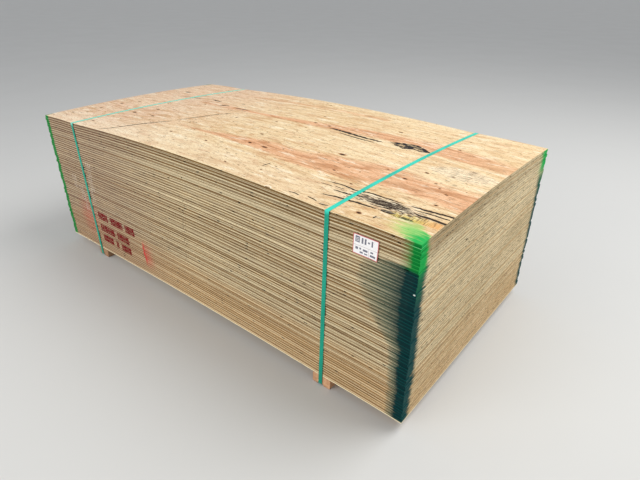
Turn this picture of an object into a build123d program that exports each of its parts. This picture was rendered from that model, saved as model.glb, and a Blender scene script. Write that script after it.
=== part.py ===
from build123d import *
from math import cos, radians, sin
import os
import random

# Strapped pack of plywood sheets on two bearers. Sizes in mm, +Z up.
# X runs along the sheets' length, Y across their width, and the origin lies
# on the floor under the middle of the pack.

# Sheets
sheet_length = 2440
sheet_width = 1220
sheet_thickness = 12.5
sheet_count = 60
sheets_per_node = 5
pinch_gap = 0.2  # air between two sheets where the straps pull them together
stray = 2  # how far a sheet may lie off the pack's middle, each way
stray_seed = 12

# Crown of the pack: it stands higher between the straps and drops past them
bottom_rise = 9.5  # lowest sheet, halfway between the bearers
packed_rise = 15  # highest of the tightly packed sheets
top_rise = 22  # top sheet
loose_count = 6  # sheets at the top that lie open between the straps
bottom_droop = 6.5  # lowest sheet's ends, below its seat on the bearers
top_droop = 8.5
top_cross_rise = 14  # top sheet's middle above its long edges
spans_between = 5  # flats that follow the curve from bearer to bearer
spans_past = 2  # flats from a bearer to the sheet's end
spans_across = 4

# Bearers
bearer_width = 92
bearer_height = 51
left_bearer_x = -877
right_bearer_x = 838
bearer_edge = 3
seat_gap = 0.3  # lowest sheet above the bearers
groove_width = 30
groove_depth = 8

# Straps
strap_width = 19
strap_thickness = 1
strap_clearance = 0.3
strap_bend = 1  # inside radius where the strap turns round an edge
left_foot_x = -890
left_front_x = -900
left_back_x = -848
right_foot_x = 834
right_front_x = 859
right_back_x = 865
weld_length = 60
left_weld_y = 205
right_weld_z = 420

# Paper tag on the front long face
tag_width = 100
tag_height = 75
tag_thickness = 0.4
tag_clearance = 0.1
tag_inset = 198  # its middle, from the pack's right end
tag_drop = 83.1  # its middle, below the top of the pack at the bearers
tag_tilt = -1.5

half_length = sheet_length / 2
half_width = sheet_width / 2
pitch = sheet_thickness + pinch_gap
middle_x = (left_bearer_x + right_bearer_x) / 2
half_span = (right_bearer_x - left_bearer_x) / 2
left_seat_x = left_bearer_x - bearer_width / 2
right_seat_x = right_bearer_x + bearer_width / 2
pack_face = half_width + stray  # the sheet that stands out furthest, each side
seat_top = bearer_height + seat_gap + (sheet_count - 1) * pitch + sheet_thickness
tag_x = half_length - tag_inset
tag_z = seat_top - tag_drop


def share(level):
    return level / (sheet_count - 1)


def rise_of(level):
    tight = sheet_count - 1 - loose_count
    if level <= tight:
        return bottom_rise + (packed_rise - bottom_rise) * level / tight
    return packed_rise + (top_rise - packed_rise) * (level - tight) / loose_count


def underside(level, x, y):
    """Height of a sheet's underside above the floor."""
    seat = bearer_height + seat_gap + level * pitch
    cross = top_cross_rise * share(level) * (1 - (y / half_width) ** 2)
    droop = bottom_droop + (top_droop - bottom_droop) * share(level)
    if left_bearer_x < x < right_bearer_x:
        bow = rise_of(level) * (1 - ((x - middle_x) / half_span) ** 2)
    elif x > right_seat_x:
        bow = -droop * ((x - right_seat_x) / (half_length - right_seat_x)) ** 2
    elif x < left_seat_x:
        bow = -droop * ((x - left_seat_x) / (-half_length - left_seat_x)) ** 2
    else:
        bow = 0
    return seat + cross + bow


def top_of_pack(x, y):
    return underside(sheet_count - 1, x, y) + sheet_thickness


def evenly(first, last, spans):
    return [first + (last - first) * step / spans for step in range(spans + 1)]


def plywood_sheet(level, stray_x, stray_y):
    """One crowned sheet, ruled between its cross sections.

    Every sheet bends at the same places, wherever its own edges lie, so that
    no two sheets meet between them.
    """
    left = evenly(-half_length, left_seat_x, spans_past)
    between = evenly(left_bearer_x, right_bearer_x, spans_between)
    right = evenly(right_seat_x, half_length, spans_past)
    along = [left[0] + stray_x, *left[1:], *between, *right[:-1], right[-1] + stray_x]
    across = evenly(-half_width, half_width, spans_across)
    across = [across[0] + stray_y, *across[1:-1], across[-1] + stray_y]
    with BuildPart() as sheet:
        for x in along:
            bottom = [(y, underside(level, x, y)) for y in across]
            top = [(y, z + sheet_thickness) for y, z in reversed(bottom)]
            with BuildSketch(Plane.YZ.offset(x)):
                with BuildLine():
                    Polyline(*bottom, *top, close=True)
                make_face()
        loft(ruled=True)
    return sheet.part


def bearer(bearer_x, foot_x):
    """A bearer with the groove that keeps its strap off the floor."""
    with BuildPart() as timber:
        with BuildSketch(Plane.XZ.offset(-half_width)) as end:
            with Locations((bearer_x, bearer_height / 2)):
                Rectangle(bearer_width, bearer_height)
            chamfer(end.vertices(), bearer_edge)
            with Locations((foot_x, groove_depth / 2)):
                Rectangle(groove_width, groove_depth, mode=Mode.SUBTRACT)
        extrude(amount=sheet_width)
    return timber.part


def strap_windows(foot_x, front_x, back_x, side, top):
    """Where a strap's legs run, seen from the front, the back and above."""
    half = strap_width / 2
    inner = side - strap_bend
    reach = strap_bend + 2 * strap_thickness
    with BuildPart() as windows:
        for lean_x, y in ((front_x, -side), (back_x, side)):
            with BuildSketch(Plane.XZ.offset(-y)):
                with BuildLine():
                    Polyline(
                        (foot_x - half, 0),
                        (foot_x + half, 0),
                        (lean_x + half, top),
                        (lean_x - half, top),
                        close=True,
                    )
                make_face()
            extrude(amount=reach, both=True)
        with BuildSketch(Plane.XY.offset(bearer_height)):
            with BuildLine():
                Polyline(
                    (front_x - half, -inner),
                    (front_x + half, -inner),
                    (back_x + half, inner),
                    (back_x - half, inner),
                    close=True,
                )
            make_face()
        extrude(amount=top - bearer_height)
        with BuildSketch():
            with Locations((foot_x, 0)):
                Rectangle(strap_width, 2 * inner)
        extrude(amount=bearer_height)
    return windows.part


def strap_loop(foot_x, front_x, back_x, weld_y=None, weld_z=None):
    """A flat strap drawn round the pack and one bearer.

    Its ends lap where they are welded: on top at weld_y, or at the back at
    weld_z.
    """
    half = strap_width / 2
    side = pack_face + strap_clearance
    foot = groove_depth - strap_clearance

    def over_pack(y):
        x = front_x + (back_x - front_x) * (y + side) / (2 * side)
        inside = max(-half_width, min(half_width, y))
        return max(top_of_pack(x - half, inside), top_of_pack(x + half, inside)) + strap_clearance

    across = evenly(side, -side, spans_across)
    if weld_y is not None:
        lap = [weld_y - weld_length / 2, weld_y + weld_length / 2]
        across = sorted(across + lap, reverse=True)
    over = [(y, over_pack(y)) for y in across]
    top = over_pack(0) + 2 * strap_thickness

    with BuildSketch(Plane.YZ) as bore:
        with BuildLine():
            Polyline((-side, foot), (side, foot), *over, close=True)
        make_face()
        corners = bore.vertices().sort_by(lambda corner: abs(corner.Y))[-4:]
        fillet(corners, strap_bend)

    with BuildPart() as strap:
        with BuildSketch(Plane.YZ) as band:
            add(bore.sketch_local)
            offset(amount=strap_thickness)
            if weld_y is not None:
                ends = [(y, over_pack(y)) for y in lap]
                with BuildLine():
                    Polyline(*ends, *[(y, z + 2 * strap_thickness) for y, z in reversed(ends)], close=True)
                make_face()
            if weld_z is not None:
                with Locations((side + strap_thickness, weld_z)):
                    Rectangle(2 * strap_thickness, weld_length)
            add(bore.sketch_local, mode=Mode.SUBTRACT)
        extrude(amount=half_length, both=True)
        add(strap_windows(foot_x, front_x, back_x, side, top), mode=Mode.INTERSECT)
    return strap.part


def behind_tag(level):
    """Whether any of a sheet's front edge lies behind the tag."""
    lean = radians(abs(tag_tilt))
    reach = (tag_height * cos(lean) + tag_width * sin(lean)) / 2
    edge = [underside(level, tag_x + side * tag_width / 2, -half_width) for side in (-1, 1)]
    return min(edge) < tag_z + reach and max(edge) + sheet_thickness > tag_z - reach


def paper_tag():
    """The tag, on the sheet behind it that stands out furthest."""
    face = half_width - min(y for level, (x, y) in enumerate(strays) if behind_tag(level))
    with BuildPart() as tag:
        with BuildSketch(Plane.XZ.offset(face + tag_clearance)):
            with Locations(Location((tag_x, tag_z), tag_tilt)):
                Rectangle(tag_width, tag_height)
        extrude(amount=tag_thickness)
    return tag.part


def write(piece, label):
    piece.label = label
    export_step(piece, f"parts/{label}.step")


os.makedirs("parts", exist_ok=True)

draw = random.Random(stray_seed)
offsets = (-stray, -stray / 2, 0, stray / 2, stray)
strays = [(draw.choice(offsets), draw.choice(offsets)) for level in range(sheet_count)]

write(bearer(left_bearer_x, left_foot_x), "left_bearer")
write(bearer(right_bearer_x, right_foot_x), "right_bearer")
write(strap_loop(left_foot_x, left_front_x, left_back_x, weld_y=left_weld_y), "left_strap")
write(strap_loop(right_foot_x, right_front_x, right_back_x, weld_z=right_weld_z), "right_strap")
write(paper_tag(), "paper_tag")

for first in range(0, sheet_count, sheets_per_node):
    last = min(first + sheets_per_node, sheet_count)
    pile = [plywood_sheet(level, *strays[level]) for level in range(first, last)]
    with BuildPart() as sheets:
        add(pile, clean=False)
    write(sheets.part, f"sheets_{first + 1:02d}_to_{last:02d}")
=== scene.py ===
import math
import random
import bpy
from mathutils import Matrix, Vector
from mathutils.geometry import delaunay_2d_cdt


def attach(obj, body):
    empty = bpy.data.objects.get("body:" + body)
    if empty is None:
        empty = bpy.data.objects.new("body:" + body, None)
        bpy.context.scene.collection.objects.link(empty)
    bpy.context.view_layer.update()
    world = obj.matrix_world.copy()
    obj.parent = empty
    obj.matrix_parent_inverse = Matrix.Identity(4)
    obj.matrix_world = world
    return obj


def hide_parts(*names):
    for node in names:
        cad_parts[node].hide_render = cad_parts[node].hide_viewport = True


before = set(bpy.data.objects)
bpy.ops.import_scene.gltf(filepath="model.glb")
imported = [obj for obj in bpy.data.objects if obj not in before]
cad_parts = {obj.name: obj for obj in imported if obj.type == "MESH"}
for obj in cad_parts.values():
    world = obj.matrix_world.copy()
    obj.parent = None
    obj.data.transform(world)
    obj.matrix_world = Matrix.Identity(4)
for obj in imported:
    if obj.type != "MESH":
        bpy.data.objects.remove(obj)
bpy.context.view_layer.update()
print("frame loaded")


def addObject(name, data):
    thing = bpy.data.objects.new(name, data)
    bpy.context.collection.objects.link(thing)
    return thing


def addMesh(name, verts, faces):
    mesh = bpy.data.meshes.new(name)
    mesh.from_pydata(verts, [], faces)
    return addObject(name, mesh)


def addLoop(name, points):
    # a closed line through the points
    data = bpy.data.curves.new(name, "CURVE")
    data.dimensions = "3D"
    spline = data.splines.new("POLY")
    spline.points.add(len(points) - 1)
    for point, place in zip(spline.points, points):
        point.co = (*place, 1)
    spline.use_cyclic_u = True
    return addObject(name, data)


# camera


photoView = {
    "place": (1.78244, -1.78996, 1.50613),
    "right": (0.77583858, 0.63091684, 0.00429499),
    "up": (-0.30204664, 0.36543298, 0.88046951),
    "back": (0.55393351, -0.6843995, 0.47408331),
    "lens": 27.3195,
    "sensor": 36.0,
    "farthest": 200,
}


def placeCamera():
    data = bpy.data.cameras.new("photoCamera")
    data.lens = photoView["lens"]
    data.sensor_width = photoView["sensor"]
    data.clip_end = photoView["farthest"]
    camera = addObject("photoCamera", data)
    turn = Matrix((photoView["right"], photoView["up"], photoView["back"])).transposed()
    camera.matrix_world = Matrix.Translation(photoView["place"]) @ turn.to_4x4()
    bpy.context.scene.camera = camera


placeCamera()
print("camera placed")


# node trees


def fromScreen(red, green, blue):
    # a colour as a picture editor shows it, 0 to 255, as the linear colour that nodes take
    linear = []
    for part in (red, green, blue):
        part = part / 255
        linear.append(part / 12.92 if part <= 0.04045 else ((part + 0.055) / 1.055) ** 2.4)
    return (*linear, 1.0)


def tonesOf(colours):
    return {name: fromScreen(*colour) for name, colour in colours.items()}


def pick(sockets, key):
    if isinstance(key, int):
        return sockets[key]
    return next(socket for socket in sockets if socket.name == key and socket.enabled)


class Flow:
    # what leaves one socket; maths on it adds nodes to its board
    def __init__(self, board, socket):
        self.board = board
        self.socket = socket

    def maths(self, operation, *values):
        return self.board.add("ShaderNodeMath", {"operation": operation}, dict(enumerate(values)))

    def __add__(self, other):
        return self.maths("ADD", self, other)

    def __sub__(self, other):
        return self.maths("SUBTRACT", self, other)

    def __rsub__(self, other):
        return self.maths("SUBTRACT", other, self)

    def __mul__(self, other):
        return self.maths("MULTIPLY", self, other)

    def __truediv__(self, other):
        return self.maths("DIVIDE", self, other)

    def __rtruediv__(self, other):
        return self.maths("DIVIDE", other, self)

    def __pow__(self, other):
        return self.maths("POWER", self, other)

    def __gt__(self, other):
        return self.maths("GREATER_THAN", self, other)

    def __lt__(self, other):
        return self.maths("LESS_THAN", self, other)

    def __neg__(self):
        return self.maths("MULTIPLY", self, -1.0)

    def __abs__(self):
        return self.maths("ABSOLUTE", self)

    __radd__ = __add__
    __rmul__ = __mul__

    def least(self, other):
        return self.maths("MINIMUM", self, other)

    def most(self, other):
        return self.maths("MAXIMUM", self, other)

    def sine(self):
        return self.maths("SINE", self)

    def part(self):
        return self.maths("FRACT", self)

    def ease(self, low, high, first=0.0, last=1.0):
        # from first to last while this goes from low to high
        sockets = {"Value": self, "From Min": low, "From Max": high, "To Min": first, "To Max": last}
        return self.board.add("ShaderNodeMapRange", {"interpolation_type": "SMOOTHSTEP"}, sockets)

    def near(self, middle, far, close):
        # 0 where this is far from the middle, 1 where it is close
        return abs(self - middle).ease(far, close)


class Board:
    # a node tree, and the one way nodes are put on it
    def __init__(self, tree):
        self.tree = tree

    def feed(self, socket, value):
        if isinstance(value, Flow):
            self.tree.links.new(value.socket, socket)
        else:
            socket.default_value = value

    def add(self, kind, settings=None, sockets=None, output=0):
        node = self.tree.nodes.new(kind)
        for name, value in (settings or {}).items():
            setattr(node, name, value)
        for name, value in (sockets or {}).items():
            self.feed(pick(node.inputs, name), value)
        return Flow(self, pick(node.outputs, output))

    def split(self, vector):
        first = self.add("ShaderNodeSeparateXYZ", None, {0: vector})
        return [Flow(self, socket) for socket in first.socket.node.outputs]

    def vector(self, x, y, z):
        return self.add("ShaderNodeCombineXYZ", None, {"X": x, "Y": y, "Z": z})

    def scaled(self, vector, scale):
        return self.add("ShaderNodeVectorMath", {"operation": "SCALE"}, {"Vector": vector, "Scale": scale})

    def noise(self, place, detail=2.0, roughness=0.5, scale=1.0):
        if isinstance(place, tuple):
            place = self.vector(*place)
        sockets = {"Vector": place, "Scale": scale, "Detail": detail, "Roughness": roughness}
        return self.add("ShaderNodeTexNoise", None, sockets)

    def chance(self, number, output="Value"):
        return self.add("ShaderNodeTexWhiteNoise", {"noise_dimensions": "1D"}, {"W": number}, output)

    # in materials

    def mixed(self, share, first, second):
        sockets = {"Factor": share, "A": first, "B": second}
        return self.add("ShaderNodeMix", {"data_type": "RGBA"}, sockets, "Result")

    def attribute(self, name, output="Fac"):
        return self.add("ShaderNodeAttribute", {"attribute_name": name}, None, output)

    def place(self):
        return self.add("ShaderNodeTexCoord", None, None, "Object")

    def bump(self, height, distance, strength):
        sockets = {"Height": height, "Distance": distance, "Strength": strength}
        return self.add("ShaderNodeBump", None, sockets)

    def finish(self, colour, roughness, normal, specular=0.5):
        sockets = {"Base Color": colour, "Roughness": roughness, "Normal": normal}
        sockets["Specular IOR Level"] = specular
        shader = self.add("ShaderNodeBsdfPrincipled", None, sockets)
        output = self.tree.nodes.new("ShaderNodeOutputMaterial")
        self.feed(output.inputs["Surface"], shader)

    # in geometry trees

    def named(self, label, kind="FLOAT"):
        return self.add("GeometryNodeInputNamedAttribute", {"data_type": kind}, {"Name": label}, "Attribute")

    def store(self, geometry, label, value, domain="POINT", kind="FLOAT"):
        sockets = {"Geometry": geometry, "Name": label, "Value": value}
        return self.add("GeometryNodeStoreNamedAttribute", {"data_type": kind, "domain": domain}, sockets)

    def shapeOf(self, thing):
        settings = {"transform_space": "ORIGINAL"}
        return self.add("GeometryNodeObjectInfo", settings, {"Object": thing}, "Geometry")

    def moved(self, geometry, offset):
        return self.add("GeometryNodeSetPosition", None, {"Geometry": geometry, "Offset": offset})

    def painted(self, geometry, finish, chosen=True):
        sockets = {"Geometry": geometry, "Selection": chosen, "Material": finish}
        return self.add("GeometryNodeSetMaterial", None, sockets)


class Coats:
    # a colour built up in layers, each over a share of those below
    def __init__(self, board, tones, colour):
        self.board = board
        self.tones = tones
        self.colour = colour

    def lay(self, share, wanted):
        tone = self.tones[wanted] if isinstance(wanted, str) else wanted
        self.colour = self.board.mixed(share, self.colour, tone)


def newMaterial(name):
    material = bpy.data.materials.new(name)
    material.use_nodes = True
    material.node_tree.nodes.clear()
    return material, Board(material.node_tree)


def newTree(name, inputs):
    # a geometry tree, its board and what its inputs give; inputs are names under their kind
    tree = bpy.data.node_groups.new(name, "GeometryNodeTree")
    tree.interface.new_socket("Geometry", in_out="INPUT", socket_type="NodeSocketGeometry")
    for kind, labels in inputs.items():
        for label in labels:
            tree.interface.new_socket(label, in_out="INPUT", socket_type="NodeSocket" + kind)
    tree.interface.new_socket("Geometry", in_out="OUTPUT", socket_type="NodeSocketGeometry")
    board = Board(tree)
    given = tree.nodes.new("NodeGroupInput")
    return tree, board, {socket.name: Flow(board, socket) for socket in given.outputs}


def endTree(tree, result):
    output = tree.nodes.new("NodeGroupOutput")
    tree.links.new(result.socket, output.inputs[0])
    return tree


def shaped(base, tree, values, name):
    # the plain mesh that a tree makes of an object, as a piece of its own
    modifier = base.modifiers.new(tree.name, "NODES")
    modifier.node_group = tree
    for item in tree.interface.items_tree:
        if item.item_type == "SOCKET" and item.in_out == "INPUT" and item.name in values:
            modifier[item.identifier] = values[item.name]
    graph = bpy.context.evaluated_depsgraph_get()
    mesh = bpy.data.meshes.new_from_object(base.evaluated_get(graph), depsgraph=graph)
    mesh.name = name
    bpy.data.objects.remove(base)
    return addObject(name, mesh)


def dropMarks(mesh, labels):
    for label in labels:
        if label in mesh.attributes:
            mesh.attributes.remove(mesh.attributes[label])


def oval(x, y, place):
    # squared distance from an oval's middle, 1 on its outline; place is middle, then half widths
    return ((x - place[0]) / place[2]) ** 2 + ((y - place[1]) / place[3]) ** 2


# floor and light


studio = {
    "floorSize": 160.0,
    "floorTone": (212, 211, 207),
    "floorShade": (200, 199, 195),
    "skyTone": (228, 231, 236),
    "skyStrength": 0.66,
    "lights": {  # place, size, power, what it points at
        "keyLight": ((3.15, 2.05, 5.65), 4.5, 280.0, (0.2, 0, 0.5)),
        "fillLight": ((-1.6, -6.4, 2.3), 5.0, 236.0, (0, 0, 0.4)),
    },
}


def buildStudio():
    material, board = newMaterial("paleFloor")
    spot = board.place()
    blotch = board.noise(spot, 4.0, scale=1.3)
    grit = board.noise(spot, scale=240.0)
    tone = board.mixed(blotch * 0.25, fromScreen(*studio["floorTone"]), fromScreen(*studio["floorShade"]))
    board.finish(tone, blotch.ease(0.3, 0.7, 0.62, 0.75), board.bump(grit, 0.0004, 0.3))
    half = studio["floorSize"] / 2
    corners = [(-half, -half, 0), (half, -half, 0), (half, half, 0), (-half, half, 0)]
    floor = addMesh("floor", corners, [(0, 1, 2, 3)])
    floor.data.materials.append(material)
    world = bpy.data.worlds.new("paleRoom")
    world.use_nodes = True
    sky = world.node_tree.nodes["Background"]
    sky.inputs["Color"].default_value = fromScreen(*studio["skyTone"])
    sky.inputs["Strength"].default_value = studio["skyStrength"]
    bpy.context.scene.world = world
    bpy.context.scene.view_settings.view_transform = "Standard"
    for name, (place, size, power, aim) in studio["lights"].items():
        data = bpy.data.lights.new(name, "AREA")
        data.shape = "DISK"
        data.size = size
        data.energy = power
        lamp = addObject(name, data)
        lamp.location = place
        lamp.rotation_euler = (Vector(aim) - Vector(place)).to_track_quat("-Z", "Y").to_euler()


buildStudio()
print("floor and light made")


# the pack, in metres, as its CAD says


pack = {
    "length": 2.440,
    "width": 1.220,
    "thickness": 0.0125,
    "count": 60,
    "perNode": 5,
    "pitch": 0.0127,
    "seat": 0.0513,
    "stray": 0.002,
    "straySeed": 12,
    "looseCount": 6,
}
crown = {  # the bow between the bearers, the droop past them, the rise across
    "bottomRise": 0.0095,
    "packedRise": 0.015,
    "topRise": 0.022,
    "bottomDroop": 0.0065,
    "topDroop": 0.0085,
    "crossRise": 0.014,
    "leftBearer": -0.877,
    "rightBearer": 0.838,
    "leftSeat": -0.923,
    "rightSeat": 0.884,
}

halfLength = pack["length"] / 2
halfWidth = pack["width"] / 2


def drawStrays():
    draw = random.Random(pack["straySeed"])
    stray = pack["stray"]
    offsets = (-stray, -stray / 2, 0, stray / 2, stray)
    return [(draw.choice(offsets), draw.choice(offsets)) for level in range(pack["count"])]


strays = drawStrays()


def topOfPack(x, y):
    # the top sheet's upper face, crowned as in the stacking tree
    middle = (crown["leftBearer"] + crown["rightBearer"]) / 2
    halfSpan = (crown["rightBearer"] - crown["leftBearer"]) / 2
    pastRight = max(0.0, (x - crown["rightSeat"]) / (halfLength - crown["rightSeat"]))
    pastLeft = max(0.0, (crown["leftSeat"] - x) / (halfLength + crown["leftSeat"]))
    bow = crown["topRise"] * max(0.0, 1 - ((x - middle) / halfSpan) ** 2)
    droop = crown["topDroop"] * (pastRight ** 2 + pastLeft ** 2)
    cross = crown["crossRise"] * (1 - (y / halfWidth) ** 2)
    return pack["seat"] + (pack["count"] - 1) * pack["pitch"] + pack["thickness"] + cross + bow - droop


# one flat sheet: a sawn rim of plies with its gaps, and two faces


edge = {
    "rows": (0.0, 0.0003, 0.0021, 0.0024, 0.0061, 0.0064, 0.0101, 0.0104, 0.0122, 0.0125),
    "setBack": (0.0004, 0.0, 0.0, 0.00035, 0.0003, 0.0003, 0.00035, 0.0, 0.0, 0.0004),
    "cores": (0, 0, 0, 1, 1, 2, 2, 0, 0, 0),  # 1 the lower core ply, 2 the upper one
    "seed": 100,
    "topSeed": 3,
    "gapStep": (0.06, 0.15),  # between the places where a core ply may show a gap
    "gapWidth": (0.004, 0.014),
    "gapLip": 0.0026,
    "gapClear": 0.04,  # no gap this near a corner
    "longest": 0.045,
    "chips": ({"side": 0, "at": 1.795, "wide": 0.026, "deep": 0.007},),
    "chipSteps": 8,
    "chipRow": 7,  # rows from here up are chipped
    "grid": (0.122, 0.15),
    "gridClear": 0.05,
    "saw": 0.0003,
    "gapShare": 0.14,
    "gapDepth": 0.006,
    "gapDraw": (977, 31),  # keeps the gaps of all sheets apart in the random draw
    "sawScale": 38.0,
    "sharpAngle": 38,
}
faceMarks = ("crack", "knot", "torn", "heart", "decay", "pitch")


def rimColumns(seed, chips):
    # the places round a rim: (side, along, x, y, outward, gap number or -1, chip depth)
    draw = random.Random(seed)
    corners = [(-halfLength, -halfWidth), (halfLength, -halfWidth)]
    corners += [(halfLength, halfWidth), (-halfLength, halfWidth)]
    columns = []
    gap = 0
    for side in range(4):
        start = Vector(corners[side])
        way = Vector(corners[(side + 1) % 4]) - start
        length = way.length
        way = way / length
        out = Vector((way.y, -way.x))
        marks = [(0.0, -1, 0.0)]
        at = draw.uniform(*edge["gapStep"])
        while at < length - edge["gapClear"]:
            half = draw.uniform(*edge["gapWidth"]) / 2
            if not any(chip["side"] == side and abs(chip["at"] - at) < chip["wide"] for chip in chips):
                lip = half + edge["gapLip"]
                marks += [(at - lip, -1, 0.0), (at - half, gap, 0.0)]
                marks += [(at + half, gap, 0.0), (at + lip, -1, 0.0)]
                gap += 1
            at += draw.uniform(*edge["gapStep"])
        for chip in chips:
            for step in range(edge["chipSteps"] + 1 if chip["side"] == side else 0):
                turn = step / edge["chipSteps"] * 2 - 1
                depth = chip["deep"] * math.sqrt(max(0.0, 1 - turn * turn))
                marks.append((chip["at"] + turn * chip["wide"] / 2, -1, depth))
        marks.sort()
        filled = []
        for this, following in zip(marks, marks[1:] + [(length, -1, 0.0)]):
            filled.append(this)
            span = following[0] - this[0]
            extra = int(span / edge["longest"])
            filled += [(this[0] + span * step / (extra + 1), -1, 0.0) for step in range(1, extra + 1)]
        for along, number, depth in filled:
            x, y = start + way * along
            columns.append((side, along, x, y, out, number, depth))
    return columns


def rimPoints(columns, depths):
    points = []
    for (side, along, x, y, out, number, chip), deep in zip(columns, depths):
        points.append((x - out.x * deep, y - out.y * deep))
    return points, [(k, (k + 1) % len(points)) for k in range(len(points))]


def plainFace(columns, depths):
    # its rim and a wide grid inside, with nothing on it
    points, edges = rimPoints(columns, depths)
    across, up = round(pack["length"] / edge["grid"][0]), round(pack["width"] / edge["grid"][1])
    for i in range(1, across):
        for j in range(1, up):
            x = -halfLength + pack["length"] * i / across
            y = -halfWidth + pack["width"] * j / up
            if abs(x) < halfLength - edge["gridClear"] and abs(y) < halfWidth - edge["gridClear"]:
                points.append((x, y))
    nothing = [0.0] * len(points)
    return points, edges, nothing, {mark: nothing for mark in faceMarks}


def sheetBlank(name, seed, chips=(), upperFace=plainFace):
    # a flat sheet at height 0, with what the stacking tree and the materials read stored on it
    columns = rimColumns(seed, chips)
    rows = edge["rows"]
    width = len(columns)
    verts, outs, faces, flat = [], [], [], []
    marks = {mark: [] for mark in ("setBack", "core", "gap", "plyHeight", *faceMarks)}

    def put(place, out=(0.0, 0.0, 0.0), **values):
        verts.append(place)
        outs.append(out)
        for mark, line in marks.items():
            line.append(values.get(mark, 0.0))
        return len(verts) - 1

    for row, height in enumerate(rows):
        values = {"setBack": edge["setBack"][row], "core": float(edge["cores"][row])}
        values["plyHeight"] = height / pack["thickness"]
        for side, along, x, y, out, number, chip in columns:
            inward = chip if row >= edge["chipRow"] else 0.0
            place = (x - out.x * inward, y - out.y * inward, height)
            put(place, (out.x, out.y, 0.0), gap=float(number), **values)
    for k in range(width):  # a corner leans both ways
        if columns[k][1] == 0.0:
            both = (columns[k][4] + columns[k - 1][4]).normalized()
            for row in range(len(rows)):
                outs[row * width + k] = (both.x, both.y, 0.0)
    for row in range(len(rows) - 1):
        low, high = rows[row] / rows[-1], rows[row + 1] / rows[-1]
        for k in range(width):
            after = (k + 1) % width
            below, above = row * width, (row + 1) * width
            faces.append((below + k, below + after, above + after, above + k))
            side = columns[k][0]
            length = pack["length"] if side % 2 == 0 else pack["width"]
            begin = columns[k][1] / length
            end = columns[after][1] / length if columns[after][0] == side else 1.0
            flat += [rimPlace(side, u, v) for u, v in ((begin, low), (end, low), (end, high), (begin, high))]
    rimFaces = len(faces)
    for above in (False, True):
        row = len(rows) - 1 if above else 0
        depths = [column[6] if above else 0.0 for column in columns]
        points, edges, depth, marked = (upperFace if above else plainFace)(columns, depths)
        made, _, triangles, origins, _, _ = delaunay_2d_cdt([Vector(p) for p in points], edges, [], 0, 1e-6)
        own = {}
        for k, place in enumerate(made):
            if origins[k]:
                source = origins[k][0]
            else:  # where two lines cross
                source = min(range(len(points)), key=lambda s: (Vector(points[s]) - place).length_squared)
            values = {mark: marked[mark][source] for mark in faceMarks}
            if origins[k] and source < width:
                own[k] = row * width + source
                for mark, value in values.items():
                    marks[mark][own[k]] = value
            else:
                height = rows[row] - depth[source]
                own[k] = put((place.x, place.y, height), gap=-1.0, plyHeight=float(above), **values)
        for triangle in triangles:
            corners = [own[k] for k in triangle]
            if len(set(corners)) == 3:
                if not above:
                    corners.reverse()
                faces.append(tuple(corners))
                fine = upperFace is not plainFace
                flat += [facePlace(verts[k][0], verts[k][1], above, fine) for k in corners]
    blank = addMesh(name, verts, faces)
    store = blank.data.attributes.new
    for mark, values in marks.items():
        store(mark, "FLOAT", "POINT").data.foreach_set("value", values)
    store("outward", "FLOAT_VECTOR", "POINT").data.foreach_set("vector", [c for out in outs for c in out])
    rest = [0.0] * (len(faces) - rimFaces)
    onEnd = [float(columns[k % width][0] % 2) for k in range(rimFaces)]
    store("onRim", "FLOAT", "FACE").data.foreach_set("value", [1.0] * rimFaces + rest)
    store("onEnd", "FLOAT", "FACE").data.foreach_set("value", onEnd + rest)
    store("flatPlace", "FLOAT2", "CORNER").data.foreach_set("vector", [c for place in flat for c in place])
    return blank


# where each surface lies on the flat layout: rims above, faces below


layout = {
    "margin": 0.004,
    "rimHigh": 0.042,
    "rimStep": 0.05,
    "endShare": 0.49,  # of a strip's length, for each short side
    "faceWide": 0.09,
    "faceStep": 0.1,
    "faceHigh": 0.2,
    "topFoot": 0.13,  # the top sheet's upper face has most of its layout
    "topHigh": 0.66,
    "belowWide": 0.5,
    "belowHigh": 0.11,
    "sheetAcross": 0.196,
    "sheetDown": 0.15,
}


def rimPlace(side, u, v):
    strip = (0, 1, 2, 1)[side]
    if side % 2:
        u = u * layout["endShare"] + (1 - layout["endShare"] if side == 3 else 0.0)
    left = layout["margin"] + u * (1 - 2 * layout["margin"])
    return (left, 1 - layout["margin"] - layout["rimStep"] * strip - layout["rimHigh"] * (1 - v))


def facePlace(x, y, above, fine):
    u = (x + halfLength) / pack["length"]
    v = (y + halfWidth) / pack["width"]
    margin = layout["margin"]
    if fine and above:
        return (margin + u * (1 - 2 * margin), layout["topFoot"] + v * layout["topHigh"])
    if fine:
        return (margin + u * layout["belowWide"], margin + v * layout["belowHigh"])
    left = margin + (layout["faceStep"] if above else 0.0)
    return (left + v * layout["faceWide"], margin + u * layout["faceHigh"])


# the tree that stacks blanks into one node's sheets


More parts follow.
